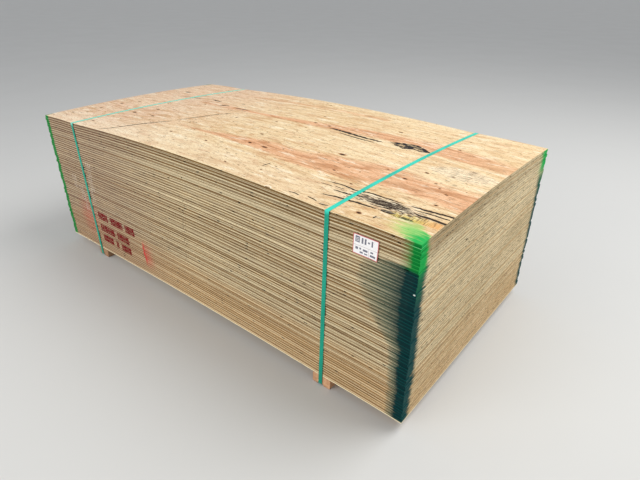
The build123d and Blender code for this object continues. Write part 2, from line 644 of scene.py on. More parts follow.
def stackingTree():
    tree, board, take = newTree("plywoodPile", {
        "Object": ("blank",),
        "Material": ("edgeFinish", "faceFinish"),
        "Int": ("firstLevel", "seed"),
        "Float": (*crown, "halfLength", "halfWidth", "lastLevel", "looseSheets", "sawRoughness",
                  "gapShare", "gapDepth", "layoutAcross", "layoutDown"),
    })
    level = board.add("GeometryNodeInputIndex") + take["firstLevel"]
    seats = board.store(take["Geometry"], "level", level)
    points = board.add("GeometryNodeMeshToPoints", {"mode": "VERTICES"}, {"Mesh": seats})
    sockets = {"Points": points, "Instance": board.shapeOf(take["blank"])}
    stood = board.add("GeometryNodeInstanceOnPoints", None, sockets)
    pile = board.add("GeometryNodeRealizeInstances", None, {"Geometry": stood})

    # the crown: sprung up between the bearers, drooping past them, higher along its middle
    place = board.add("GeometryNodeInputPosition")
    x, y, z = board.split(place)
    level = board.named("level")
    share = level / take["lastLevel"]
    tight = take["lastLevel"] - take["looseSheets"]
    isLoose = level > tight
    packed = take["bottomRise"] + (take["packedRise"] - take["bottomRise"]) * level / tight
    opened = (take["topRise"] - take["packedRise"]) * (level - tight) / take["looseSheets"]
    rise = packed * (1 - isLoose) + (take["packedRise"] + opened) * isLoose
    middle = (take["leftBearer"] + take["rightBearer"]) / 2
    reach = (x - middle) / ((take["rightBearer"] - take["leftBearer"]) / 2)
    sprung = rise * (1 - reach * reach).most(0.0)
    droop = take["bottomDroop"] + (take["topDroop"] - take["bottomDroop"]) * share
    pastRight = ((x - take["rightSeat"]) / (take["halfLength"] - take["rightSeat"])).most(0.0)
    pastLeft = ((take["leftSeat"] - x) / (take["halfLength"] + take["leftSeat"])).most(0.0)
    dropped = droop * (pastRight * pastRight + pastLeft * pastLeft)
    across = y / take["halfWidth"]
    crossed = take["crossRise"] * share * (1 - across * across)
    pile = board.moved(pile, board.vector(0.0, 0.0, sprung - dropped + crossed))

    # the saw leaves each ply its own roughness, and some core plies gape
    gap = board.named("gap")
    sockets = {"ID": gap * edge["gapDraw"][0] + level * edge["gapDraw"][1], "Seed": take["seed"]}
    isOpen = board.add("FunctionNodeRandomValue", {"data_type": "FLOAT"}, sockets, "Value") < take["gapShare"]
    number = {"Vector": board.vector(gap, level, take["seed"])}
    pickCore = board.add("ShaderNodeTexWhiteNoise", {"noise_dimensions": "3D"}, number, "Value")
    isCore = abs(board.named("core") - (1 + (pickCore > 0.5))) < 0.25
    pocket = isOpen * (gap > -0.5) * isCore * (take["gapDepth"] * (0.55 + pickCore * 0.9))
    pile = board.store(pile, "pocket", pocket)
    rough = board.noise(place, 3.0, 0.6, scale=edge["sawScale"]) - 0.5
    fine = board.noise((x * 190, y * 190, z * 900 + level * 3.7), 1.0) - 0.5
    inward = board.named("setBack") + pocket - (rough + fine * 0.25) * take["sawRoughness"]
    pile = board.moved(pile, board.scaled(board.named("outward", "FLOAT_VECTOR"), -inward))

    # each sheet takes its own strip of the flat layout
    onRim = board.named("onRim")
    down = (level - take["firstLevel"]) * take["layoutDown"] * onRim
    aside = (level - take["firstLevel"]) * take["layoutAcross"] * (1 - onRim)
    sockets = {0: board.named("flatPlace", "FLOAT_VECTOR"), 1: board.vector(aside, -down, 0.0)}
    laid = board.add("ShaderNodeVectorMath", {"operation": "ADD"}, sockets)
    pile = board.store(pile, "OFBake", laid, "CORNER", "FLOAT2")
    pile = board.painted(pile, take["faceFinish"])
    return endTree(tree, board.painted(pile, take["edgeFinish"], onRim > 0.5))


def pileOf(tree, blank, name, first, count, finishes):
    levels = range(first, first + count)
    seats = [(*strays[level], pack["seat"] + level * pack["pitch"]) for level in levels]
    piece = shaped(addMesh(name + "Seats", seats, []), tree, {
        "blank": blank,
        "edgeFinish": finishes[0],
        "faceFinish": finishes[1],
        "firstLevel": first,
        "seed": first + 7,
        **crown,
        "halfLength": halfLength,
        "halfWidth": halfWidth,
        "lastLevel": float(pack["count"] - 1),
        "looseSheets": float(pack["looseCount"]),
        "sawRoughness": edge["saw"],
        "gapShare": edge["gapShare"],
        "gapDepth": edge["gapDepth"],
        "layoutAcross": layout["sheetAcross"],
        "layoutDown": layout["sheetDown"],
    }, name)
    bpy.data.objects.remove(blank)
    dropMarks(piece.data, ("setBack", "core", "gap", "outward", "flatPlace", "onRim"))
    piece.data.set_sharp_from_angle(angle=math.radians(edge["sharpAngle"]))
    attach(piece, "root")
    return piece


# finishes of the sheets


spray = {  # the paint on the upright corners: heights, and how far it reaches, in metres
    "join": 0.700,  # green above, teal below
    "frontJoin": (-0.014, 0.012),  # how softly the two meet
    "endJoin": (-0.030, 0.014),
    "farJoin": (0.655, 0.735),
    "waist": 0.306,  # only a thin haze below this
    "solidMiddle": 0.56,  # solid teal is widest here
    "solidFade": (0.22, 0.05),
    "solidWide": (0.040, 0.067),
    "hazeHeights": (0.33, 0.61),
    "hazeWide": (0.042, 0.158),
    "hazeTop": (0.76, 0.67),
    "lowHaze": 0.036,
    "endWide": 0.050,
    "greenWide": 0.033,
    "greenEnd": 0.045,
    "greenTint": (0.072, 0.014),
    "leftWide": (0.044, 0.030),
    "farLeftWide": (0.09, 0.04),
    "farHeights": (0.50, 0.78),
    "farWide": (0.050, 0.095),
    "chip": (1.214, 0.622, 0.0048, 0.0036),
}


def sprayed(board, x, y, z):
    # masks of the green and the teal paint at the pack's upright corners
    jag = board.noise((x * 14, y * 14, z * 190), 3.0, 0.7) - 0.5
    drift = board.noise((x * 5, y * 5, z * 9)) - 0.5
    speck = board.noise((x * 330, y * 330, z * 330), 2.0, 0.6)
    fromRight = (halfLength - x).most(0.0)
    fromLeft = (halfLength + x).most(0.0)
    fromFront = (halfWidth + y).most(0.0)
    fromBack = (halfWidth - y).most(0.0)
    end = (fromFront - fromRight).ease(-0.004, 0.004)
    shift = jag * 0.95 + drift * 0.5
    solidWide = abs(z - spray["solidMiddle"]).ease(*spray["solidFade"], *spray["solidWide"])
    above = z.ease(*spray["hazeHeights"], *spray["hazeWide"]) * z.ease(*spray["hazeTop"], 0.6, 1.0)
    below = z < spray["waist"]
    hazeWide = above * (1 - below) + below * spray["lowHaze"]
    past = (fromRight - solidWide + shift * 0.052) / hazeWide  # 0 at the solid paint's rim, 1 where it ends
    thinned = (1 - past).most(0.0) ** 0.45 * 0.90
    thinned = thinned.most(past.ease(0.22, -0.12))
    grain = speck.ease(0.28, 0.60, 0.78, 1.0)
    frontTeal = thinned * (grain + (1 - grain) * thinned.ease(0.75, 1.0))
    endTeal = (fromFront / spray["endWide"] + jag * 1.9 + drift * 0.5).ease(1.30, 0.70)
    height = z - spray["join"] + drift * 0.03
    upperFront = (height + jag * 0.012).ease(*spray["frontJoin"])
    upperEnd = (height + jag * 0.06).ease(*spray["endJoin"])
    upper = upperFront * (1 - end) + upperEnd * end
    teal = (frontTeal * (1 - end) + endTeal * end) * upper.ease(1.0, 0.9)
    near = fromRight / spray["greenWide"] + fromFront / spray["greenEnd"] + shift * 0.7
    tint = (fromRight + shift * 0.02).ease(*spray["greenTint"]) ** 0.6 * 0.86 * (1 - end)
    green = near.ease(1.50, 0.70).most(tint) * upper
    left = (fromLeft + fromFront * 0.8 + jag * 0.006).ease(*spray["leftWide"])
    farWide = z.ease(*spray["farHeights"], *spray["farWide"])
    farRight = ((fromRight + fromBack * 0.8 + shift * 0.018) / farWide).ease(1.0, 0.25)
    farLeft = (fromLeft + fromBack + shift * 0.05).ease(*spray["farLeftWide"])
    farUpper = (z + drift * 0.04).ease(*spray["farJoin"])
    green = green.most(left * 0.90).most(farRight * farUpper).most(farLeft * 0.95)
    teal = teal.most(farRight * (1 - farUpper)).most(left * 0.7)
    return green, teal


def paintChip(x, y, z):
    # the pale spot where the paint is knocked off the near corner
    return oval(x, z, spray["chip"]).ease(1.0, 0.5) * y.ease(-0.58, -0.60)


def anyOf(masks):
    joined = masks[0]
    for mask in masks[1:]:
        joined = joined.most(mask)
    return joined


def onFront(y):
    return y.ease(-halfWidth + 0.03, -halfWidth + 0.01)


stencil = {  # rows of plain red blocks on the front: left end, foot, right end, top, blocks
    "rows": (
        (-0.838, 0.264, -0.738, 0.305, 3),
        (-0.712, 0.264, -0.586, 0.305, 5),
        (-0.560, 0.264, -0.468, 0.305, 4),
        (-0.837, 0.186, -0.690, 0.226, 4),
        (-0.664, 0.186, -0.542, 0.226, 4),
        (-0.837, 0.120, -0.728, 0.157, 4),
        (-0.698, 0.120, -0.672, 0.157, 1),
        (-0.642, 0.120, -0.544, 0.157, 4),
    ),
    "bow": (-0.400, 0.205),
    "cloud": (-0.94, 0.25, 0.15, 0.18),
    "grow": 0.003,  # above and below each row
    "shake": 0.004,
}


def stencilled(board, x, y, z):
    # masks of the blocks and of the red mist beside them
    wobble = (board.noise((x * 120, z * 120, 2.0)) - 0.5) * stencil["shake"]
    grow = stencil["grow"]
    rows = []
    for left, foot, right, top, blocks in stencil["rows"]:
        u = (x - left + wobble) * (blocks / (right - left))
        v = (z - foot + grow + wobble) * (1 / (top - foot + 2 * grow))
        inside = u.near(blocks / 2, blocks / 2, blocks / 2 - 0.05) * v.near(0.5, 0.52, 0.47)
        block = u.part().near(0.5, 0.48, 0.45)
        odd = (u * 0.5).part() > 0.5
        bridge = v.near(0.5, 0.015, 0.05) * odd + u.part().near(0.5, 0.03, 0.07) * (1 - odd)
        rows.append(inside * block * bridge)
    worn = board.noise((x * 260, y * 260, z * 520), 3.0).ease(0.26, 0.42)
    speck = board.noise((x * 300, 0.0, z * 300)).ease(0.35, 0.6)
    bow = x - stencil["bow"][0] - abs(z - stencil["bow"][1]) * 0.09
    arc = abs(bow).ease(0.014, 0.002) * z.near(0.185, 0.090, 0.03) * 0.95
    drift = bow.ease(0.10, 0.004) * bow.ease(-0.006, 0.001) * z.near(0.18, 0.10, 0.02) * 0.60
    cloud = (oval(x, z, stencil["cloud"]) ** 0.5).ease(1.0, 0.1) * 0.36
    mist = cloud.most(drift) * (speck * 0.6 + 0.4)
    front = onFront(y)
    return anyOf(rows) * (0.982 + worn * 0.018) * front, arc.most(mist) * front


chalk = {  # plain scribbles on the front: left end, middle height, right end, swings
    "strokes": (
        (-1.056, 0.448, -1.010, 5),
        (-0.998, 0.396, -0.946, 6),
        (-0.976, 0.330, -0.934, 4),
        (-0.852, 0.560, -0.802, 5),
        (-0.864, 0.474, -0.815, 6),
        (-0.874, 0.400, -0.836, 4),
    ),
}


def chalked(board, x, y, z):
    wander = board.noise((x * 26, z * 26, 8.0), 1.0) - 0.5
    strokes = []
    for left, middle, right, swings in chalk["strokes"]:
        half = (right - left) / 2
        swing = ((x - left) * (math.pi * swings / (right - left)) + wander * 2.2).sine() * 0.034
        line = abs(z - middle - swing - wander * 0.03)
        strokes.append(line.ease(0.0150, 0.0060) * x.near((left + right) / 2, half, half - 0.004))
    broken = board.noise((x * 300, 0.0, z * 300)).ease(0.38, 0.58)
    return anyOf(strokes) * broken * onFront(y) * 0.55


edgeTones = {
    "faceLight": (255, 240, 200),
    "faceDark": (238, 212, 164),
    "coreLight": (155, 123, 78),
    "coreDark": (94, 67, 36),
    "endTone": (240, 214, 168),
    "endDark": (204, 174, 124),
    "endShade": (150, 128, 92),
    "orange": (198, 150, 96),
    "grey": (180, 166, 136),
    "glue": (74, 50, 30),
    # painted shade of gaps, pockets and the chip
    "hollow": (30, 20, 12),
    "lip": (136, 222, 152),
    "teal": (0, 42, 44),
    "tealEnd": (0, 66, 66),
    "tealLine": (10, 86, 80),
    "tealHaze": (24, 76, 66),
    # painted shade at the joints under the paint
    "tealJointShade": (0, 22, 26),
    "joinTone": (0, 108, 68),
    "green": (0, 120, 46),
    "greenEnd": (0, 172, 76),
    "greenLine": (70, 196, 96),
    # painted shade at the joints under the paint
    "greenJointShade": (0, 72, 26),
    "chip": (196, 204, 196),
    "red": (112, 0, 18),
    "redMist": (200, 52, 56),
    "chalk": (242, 238, 228),
    # painted shade towards the left end
    "leftEndShade": (104, 76, 84),
}


plies = {  # in shares of a sheet's thickness
    "coreFoot": (0.165, 0.195),
    "coreTop": (0.825, 0.795),
    "glueLines": (  # middle, where it starts and where it is full to either side, strength
        (0.18, 0.028, 0.008, 1.0),
        (0.82, 0.028, 0.008, 1.0),
        (0.5, 0.022, 0.006, 0.8),
    ),
    "pocket": (0.0004, 0.002),  # in metres
}


def plyEdgeFinish():
    material, board = newMaterial("plyEdgeFinish")
    tone = tonesOf(edgeTones)
    x, y, z = board.split(board.place())
    level = board.attribute("level")
    height = board.attribute("plyHeight")
    pocket = board.attribute("pocket").ease(*plies["pocket"])
    onEnd = board.attribute("onEnd")

    # the plies: face veneers and two cores, which show end grain on opposite sides
    along = x * (1 - onEnd) + y * onEnd
    core = height.ease(*plies["coreFoot"]) * height.ease(*plies["coreTop"])
    half = height > 0.5
    endGrain = core * (1 - onEnd) + (1 - core) * onEnd
    one, two, three = board.split(board.chance(level + 0.5, "Color"))
    run = board.noise((along * 1.6, level * 7.31, onEnd * 40 + half * 3), 3.0, 0.6)
    patch = board.noise((along * 9, level * 3.17, onEnd * 20 + core * 5 + half * 9), 3.0, 0.6)
    streak = board.noise((along * 45, height * 7 + level * 5.3, half * 2), 4.0, 0.65)
    pore = board.noise((along * 620, height * 16 + level * 2.1, 4.0), 2.0, 0.6)
    faceTone = board.mixed((streak * 0.5 + run * 0.5).ease(0.40, 0.70), tone["faceLight"], tone["faceDark"])
    coreTone = board.mixed((pore * 0.4 + patch * 0.6).ease(0.36, 0.64), tone["coreLight"], tone["coreDark"])
    coats = Coats(board, tone, board.mixed(endGrain, faceTone, coreTone))

    # sheets and halves of sheets differ; the lower face veneer is darker, partly saw wear and partly painted
    # shade
    lowerFaceWearAndShade = (1 - core) * (1 - half) * (1 - onEnd)
    coats.lay(lowerFaceWearAndShade * run.ease(0.35, 0.65, 0.40, 0.10), "coreLight")
    calm = x.ease(-0.9, 0.1, 0.45, 1.0)  # the far sheets look more alike
    lot = board.chance(level * 2 + half + 40.5) + (run - 0.5) * 1.1
    coats.lay(lot.ease(0.58, 1.0) * calm * (0.42 - onEnd * 0.20), "faceLight")
    coats.lay(lot.ease(0.36, 0.0) * calm * (0.28 - onEnd * 0.16), "coreDark")

    # the short sides are paler, with drawn-out lines, and darker near their top
    mottle = board.noise((y * 2.4, z * 5.0, 3.0), 3.0, 0.6)
    endTone = board.mixed(mottle.ease(0.36, 0.64), tone["endTone"], tone["endDark"])
    coats.lay(onEnd * 0.42, endTone)
    coats.lay(onEnd * z.ease(0.35, 0.70) * 0.16, "faceLight")
    drawn = board.noise((0.0, y * 19, z * 250), 3.0, 0.6)
    coats.lay(drawn.ease(0.50, 0.66) * onEnd * 0.34, "endShade")
    coats.lay(drawn.ease(0.48, 0.34) * onEnd * 0.36, "faceLight")
    bruise = board.noise((0.0, y * 7, z * 60), 3.0, 0.6)
    shaded = onEnd * (level + (bruise - 0.5) * 8).ease(52.5, 57.5) * y.ease(0.35, -0.45, 0.15, 0.6)
    coats.lay(shaded, "endShade")

    # lots of sheets: warmer below, greyer here and there, darker on top
    low = (level + (run - 0.5) * 5).ease(17.5, 14.0)
    coats.lay(low * (0.16 + one * 0.22), "orange")
    coats.lay(two.ease(0.55, 0.95) * calm * 0.20 * (1 - low), "grey")
    top = level.ease(53.0, 55.5)
    dark = three.ease(0.66, 0.95) * calm * 0.16 + top * 0.20 * (1 - half * (1 - core))
    coats.lay(dark * (1 - onEnd * 0.7), "coreDark")

    # glue lines, then dark dashes where a veneer gapes, coloured as painted shade of the gap
    glue = sum(height.near(*line) * share for *line, share in plies["glueLines"])
    glue = glue.least(1.0) * patch.ease(0.3, 0.6, 0.2, 0.65) * (1 - onEnd * 0.72)
    coats.lay(glue, "glue")
    dash = board.noise((along * 26, level * 11.7 + half * 5.3, onEnd * 9))
    dash = dash.ease(0.69, 0.74) * core * 0.75
    seam = board.noise((along * 15, level * 9.1 + height * 11, 21.0))
    dash = dash.most(seam.ease(0.57, 0.65) * onEnd * 0.52)
    dash = dash.most(seam.ease(0.665, 0.70) * onEnd * 0.85)
    tick = board.noise((along * 70, level * 4.9, height * 3 + 11))
    dash = dash.most((tick + onEnd * 0.06).ease(0.68, 0.74) * 0.68)
    drips = board.noise((x * 130, z * 90, 5.0), 1.0)
    line = abs(x - 0.005 - (z - 0.45) * 0.1).ease(0.028, 0.006) * z.near(0.45, 0.20, 0.15)
    dash = dash.most(drips.ease(0.60, 0.68) * line * (1 - onEnd) * 0.8)
    coats.lay(dash, "hollow")
    # painted shade in the open core pockets
    coats.lay(pocket, "hollow")

    # the dark joint between two sheets: painted shade in the gap, with some grime, darker at some sheets and
    # at the top ones
    rim = height.ease(0.055, 0.0) + height.ease(0.980, 1.0) * 0.4
    jointShadeAndGrime = two.ease(0.35, 0.9, 0.30, 0.65) + top * 0.3
    coats.lay(rim * jointShadeAndGrime * (1 - onEnd * 0.6), "glue")
    # painted shade: darker towards the left end
    coats.lay(x.ease(0.10, -0.75) * 0.34, "leftEndShade")

    # sprayed paint
    green, teal = sprayed(board, x, y, z)
    cover = 1 - pocket * 0.8
    lightPly = (1 - core) * (1 - onEnd)
    thin = 1 - lightPly * teal.ease(0.99, 0.5) * 0.30
    # in the paint the joints are darker as painted shade in the gaps, the glue lines darker, and on the front
    # the upper face veneer lighter, partly the ply showing through and partly painted light; the short sides
    # get lighter patches
    shade = 1 - (rim.least(1.0) * 0.6 + glue * 0.4)
    brightPly = (1 - core) * half * (1 - onEnd) * 0.6 + onEnd * patch.ease(0.45, 0.65) * 0.4
    plain = board.mixed(onEnd, tone["teal"], tone["tealEnd"])
    tealPaint = Coats(board, tone, board.mixed(shade, tone["tealJointShade"], plain))
    tealPaint.lay(brightPly, "tealLine")
    join = z.ease(spray["join"] - 0.15, spray["join"] - 0.03) * onEnd
    tealPaint.lay(join * 0.8, "joinTone")
    tealPaint.lay(teal.ease(1.0, 0.62), "tealHaze")
    plain = board.mixed(onEnd, tone["green"], tone["greenEnd"])
    greenPaint = Coats(board, tone, board.mixed(shade, tone["greenJointShade"], plain))
    greenPaint.lay(brightPly * 0.8, "greenLine")
    coats.lay(teal * cover * thin * 0.99, tealPaint.colour)
    coats.lay(green * cover * (1 - core * green.ease(0.7, 0.5) * 0.5), greenPaint.colour)
    coats.lay(paintChip(x, y, z), "chip")

    # marks
    foot = (level < 0.5) * height.ease(0.42, 0.26) * 0.8
    coats.lay(foot, "faceLight")
    lip = (abs(level - 58) < 0.5) * height.ease(0.84, 0.92) * green * 0.75
    coats.lay(lip, "lip")
    blocks, redMist = stencilled(board, x, y, z)
    coats.lay(redMist * cover, "redMist")
    coats.lay(blocks * (0.4 + cover * 0.6), "red")
    coats.lay(chalked(board, x, y, z) * cover, "chalk")
    # painted shade inside the chip
    coats.lay(chipShade(x, y, z), "hollow")

    wet = (green + teal).least(1.0)
    rough = streak.ease(0.3, 0.7, 0.70, 0.86) - wet * 0.18
    relief = pore * endGrain * 0.8 + streak * (1 - endGrain) * 0.5 - glue * 0.35 - dash
    board.finish(coats.colour, rough, board.bump(relief, 0.0007, 0.8), specular=0.08)
    return material


chipInside = {"middle": 0.574, "half": 0.013, "above": 0.8225}


def chipShade(x, y, z):
    # painted shade inside the chip in the top sheet's long edge
    off = ((x - chipInside["middle"]) / chipInside["half"]) ** 2
    return off.ease(1.0, 0.6) * y.ease(-0.60, -0.604) * (z > chipInside["above"])


veneer = {
    "cream": (245, 224, 182),
    "pale": (255, 243, 214),
    "straw": (231, 200, 152),
    "late": (198, 154, 102),
    "pink": (238, 204, 180),
    "salmon": (230, 170, 128),
    "rust": (188, 122, 80),
    "knot": (88, 54, 32),
    "knotRim": (176, 120, 72),
    "dark": (34, 25, 20),
    "decay": (52, 38, 31),
    "bared": (216, 192, 108),
    "baredEnd": (228, 174, 112),
    "baredDark": (122, 84, 46),
    "pitch": (44, 40, 40),
    # painted shade on the ledges of the sheets below
    "ledgeShade": (128, 100, 66),
    "ledgeEndShade": (172, 146, 108),
    "teal": (3, 62, 64),
    "green": (0, 176, 78),
    "fresh": (64, 196, 90),
    "mist": (196, 216, 120),
    "chipRim": (255, 247, 226),
    "sideGreen": (4, 120, 48),
}
topMarks = {  # each a middle on the top face, then its half widths
    "bleached": (1.09, -0.025, 0.17, 0.085),
    "stains": ((1.020, -0.493, 0.032, 0.010), (1.100, -0.499, 0.030, 0.010)),
    "cone": (1.214, -0.592, 0.048, 0.066),
    "far": (1.175, -0.550, 0.16, 0.080),
    "drift": (1.165, -0.550, 0.075, 0.052),
    "chip": (0.574, -halfWidth, 0.018, 0.014),
}


def veneerFinish():
    material, board = newMaterial("veneerFinish")
    tone = tonesOf(veneer)
    x, y, z = board.split(board.place())
    crack, knot, torn, heart, decay, pitch = [board.attribute(mark) for mark in faceMarks]
    upper = (board.attribute("level") > pack["count"] - 1.5) * (board.attribute("plyHeight") > 0.5)
    swirl = board.noise((x * 1.1, y * 5.5, 1.0))
    wide = board.noise((x * 0.7, y * 3.0, 7.0), 3.0, 0.55)
    strip = board.noise((x * 1.6, y * 26, 12.0), 3.0, 0.6)
    streak = board.noise((x * 5.0, y * 95, 2.0), 4.0, 0.62)
    fibre = board.noise((x * 38, y * 620, 3.0), 3.0, 0.6)
    rings = ((swirl * 88 + streak * 1.8 + knot * 2).sine() * 0.5 + 0.5) ** 3
    base = board.mixed((wide * 0.6 + strip * 0.4).ease(0.36, 0.64), tone["cream"], tone["straw"])
    coats = Coats(board, tone, base)
    coats.lay(x.ease(0.1, -0.85) * (0.35 + wide * 0.5), "pink")
    coats.lay(rings * wide.ease(0.35, 0.7, 0.25, 0.65), "late")
    coats.lay(streak.ease(0.50, 0.72) * 0.68, "late")

    # heartwood
    lean = heart * 1.05 + (wide - 0.5) * 0.4 + (strip - 0.5) * 1.3 + (streak - 0.5) * 0.9
    red = lean.ease(0.30, 0.86)
    heartTone = board.mixed((streak * 0.7 + rings * 0.3).ease(0.3, 0.70), tone["salmon"], tone["rust"])
    coats.lay(red * (0.58 + strip * 0.3), heartTone)
    coats.lay(fibre.ease(0.55, 0.72) * 0.55, "rust")
    coats.lay(fibre.ease(0.44, 0.28) * 0.5, "pale")

    # flecks, ticks and bleached or darker patches
    fleck = board.noise((x * 24, y * 210, 9.0))
    tick = board.noise((x * 70, y * 420, 19.0))
    mottle = board.noise((x * 7, y * 30, 23.0), 3.0, 0.65)
    coats.lay(mottle.ease(0.52, 0.70) * 0.40, "rust")
    farEnd = x.ease(0.98, 1.20) * y.ease(-0.22, 0.02)
    coats.lay(farEnd * 0.30, "straw")
    coats.lay(mottle.ease(0.46, 0.32) * 0.6, "pale")
    coats.lay(y.ease(-0.38, -0.5) * x.ease(1.0, 0.6) * 0.22, "pale")
    bleached = oval(x, y, topMarks["bleached"]).ease(1.0, 0.2)
    coats.lay(bleached * 0.42, "pale")
    coats.lay((fleck + bleached * 0.09).ease(0.60, 0.68) * 0.7, "knot")
    coats.lay(tick.ease(0.58, 0.66) * 0.75, "knotRim")

    # knots, torn veneer, decay, the pitch pocket and splits, where the mesh says
    coats.lay(knot.ease(0.05, 0.35) * 0.75, "knotRim")
    coats.lay(knot.ease(0.45, 0.75), "knot")
    coats.lay(knot.ease(0.88, 0.97) * 0.85, "dark")
    rib = board.noise((x * 210, y * 14, 4.0), 2.0, 0.6)
    bared = Coats(board, tone, board.mixed(x.ease(1.12, 1.20), tone["bared"], tone["baredEnd"]))
    blotch = board.noise((x * 34, y * 90, 14.0), 2.0, 0.6)
    bared.lay((rib + (1.09 - x) * 0.9).ease(0.47, 0.60) * 0.9, "baredDark")
    bared.lay((blotch + (1.12 - x) * 1.6).ease(0.60, 0.70) * 0.85, "decay")
    near, away = [oval(x, y, place) for place in topMarks["stains"]]
    bared.lay((near.least(away) + (blotch - 0.5) * 1.6).ease(1.1, 0.5) * 0.92, "decay")
    bared.lay(rib.ease(0.44, 0.34) * 0.6, "cream")
    coats.lay(torn.ease(0.3, 0.7), bared.colour)
    rot = board.noise((x * 26, y * 300, 5.0), 3.0, 0.65)
    soft = (decay * 0.42 + rot).ease(0.79, 0.85) * decay.ease(0.03, 0.25)
    coats.lay(rot.ease(0.52, 0.42) * decay.ease(0.2, 0.6) * 0.55, "pale")
    coats.lay(soft * 0.92, "decay")
    slash = board.noise((x * 22 + y * 30, y * 150, 3.0))
    pitchTone = board.mixed(slash.ease(0.55, 0.60), tone["pitch"], tone["straw"])
    coats.lay(pitch.ease(0.35, 0.65), pitchTone)
    coats.lay(crack.ease(0.22, 0.62) * 0.96, "dark")

    # overspray at the near corner
    gust = board.noise((x * 9, y * 60, 6.0), 3.0, 0.65) - 0.5
    strand = board.noise((x * 14, y * 190, 16.0), 2.0, 0.6) - 0.5
    gust = gust + strand * 0.45
    slant = ((x - 1.218) * 0.66 + (y + 0.560) * 0.75 + gust * 0.03).ease(0.012, -0.004)
    cone, far, drift, ring = [oval(x, y, topMarks[mark]) ** 0.5 for mark in ("cone", "far", "drift", "chip")]
    mist = (far + gust * 1.1).ease(1.0, 0.2) * 0.55 * upper * slant
    coats.lay(mist, "mist")
    drift = (drift + gust * 2.0).ease(1.2, 0.2) * 0.62 * upper * slant
    coats.lay(drift, "fresh")
    cover = (cone + gust * 2.6).ease(1.30, 0.38) * upper * slant
    coats.lay(cover * 0.97, "green")

    # ledges of the sheets below, darkened as painted shade like the gaps between sheets, and the chip's pale
    # rim
    fromEnd = halfLength - abs(x)
    fromRim = fromEnd.least(halfWidth - abs(y))
    ledgeShade = board.mixed(fromEnd.ease(0.009, 0.004), tone["ledgeShade"], tone["ledgeEndShade"])
    coats.lay(fromRim.ease(0.009, 0.004) * (1 - upper) * 0.8, ledgeShade)
    coats.lay(ring.near(0.86, 0.20, 0.06) * upper * 0.9, "chipRim")

    green, teal = sprayed(board, x, y, z)
    edgeOnly = fromRim.ease(0.012, 0.005) * (1 - upper) + (halfLength + x).ease(0.014, 0.006) * upper
    coats.lay(teal * edgeOnly * (1 - upper), "teal")
    coats.lay(green * edgeOnly, "sideGreen")

    rough = streak.ease(0.3, 0.7, 0.60, 0.80) - cover * 0.15
    relief = streak * 0.35 + fibre * 0.35 + fleck * 0.2 - rings * 0.12 + rot * decay + rib * torn
    board.finish(coats.colour, rough, board.bump(relief, 0.0006, 0.7), specular=0.16)
    return material


# the top sheet's upper face: knots, splits and torn veneer where the real one has them


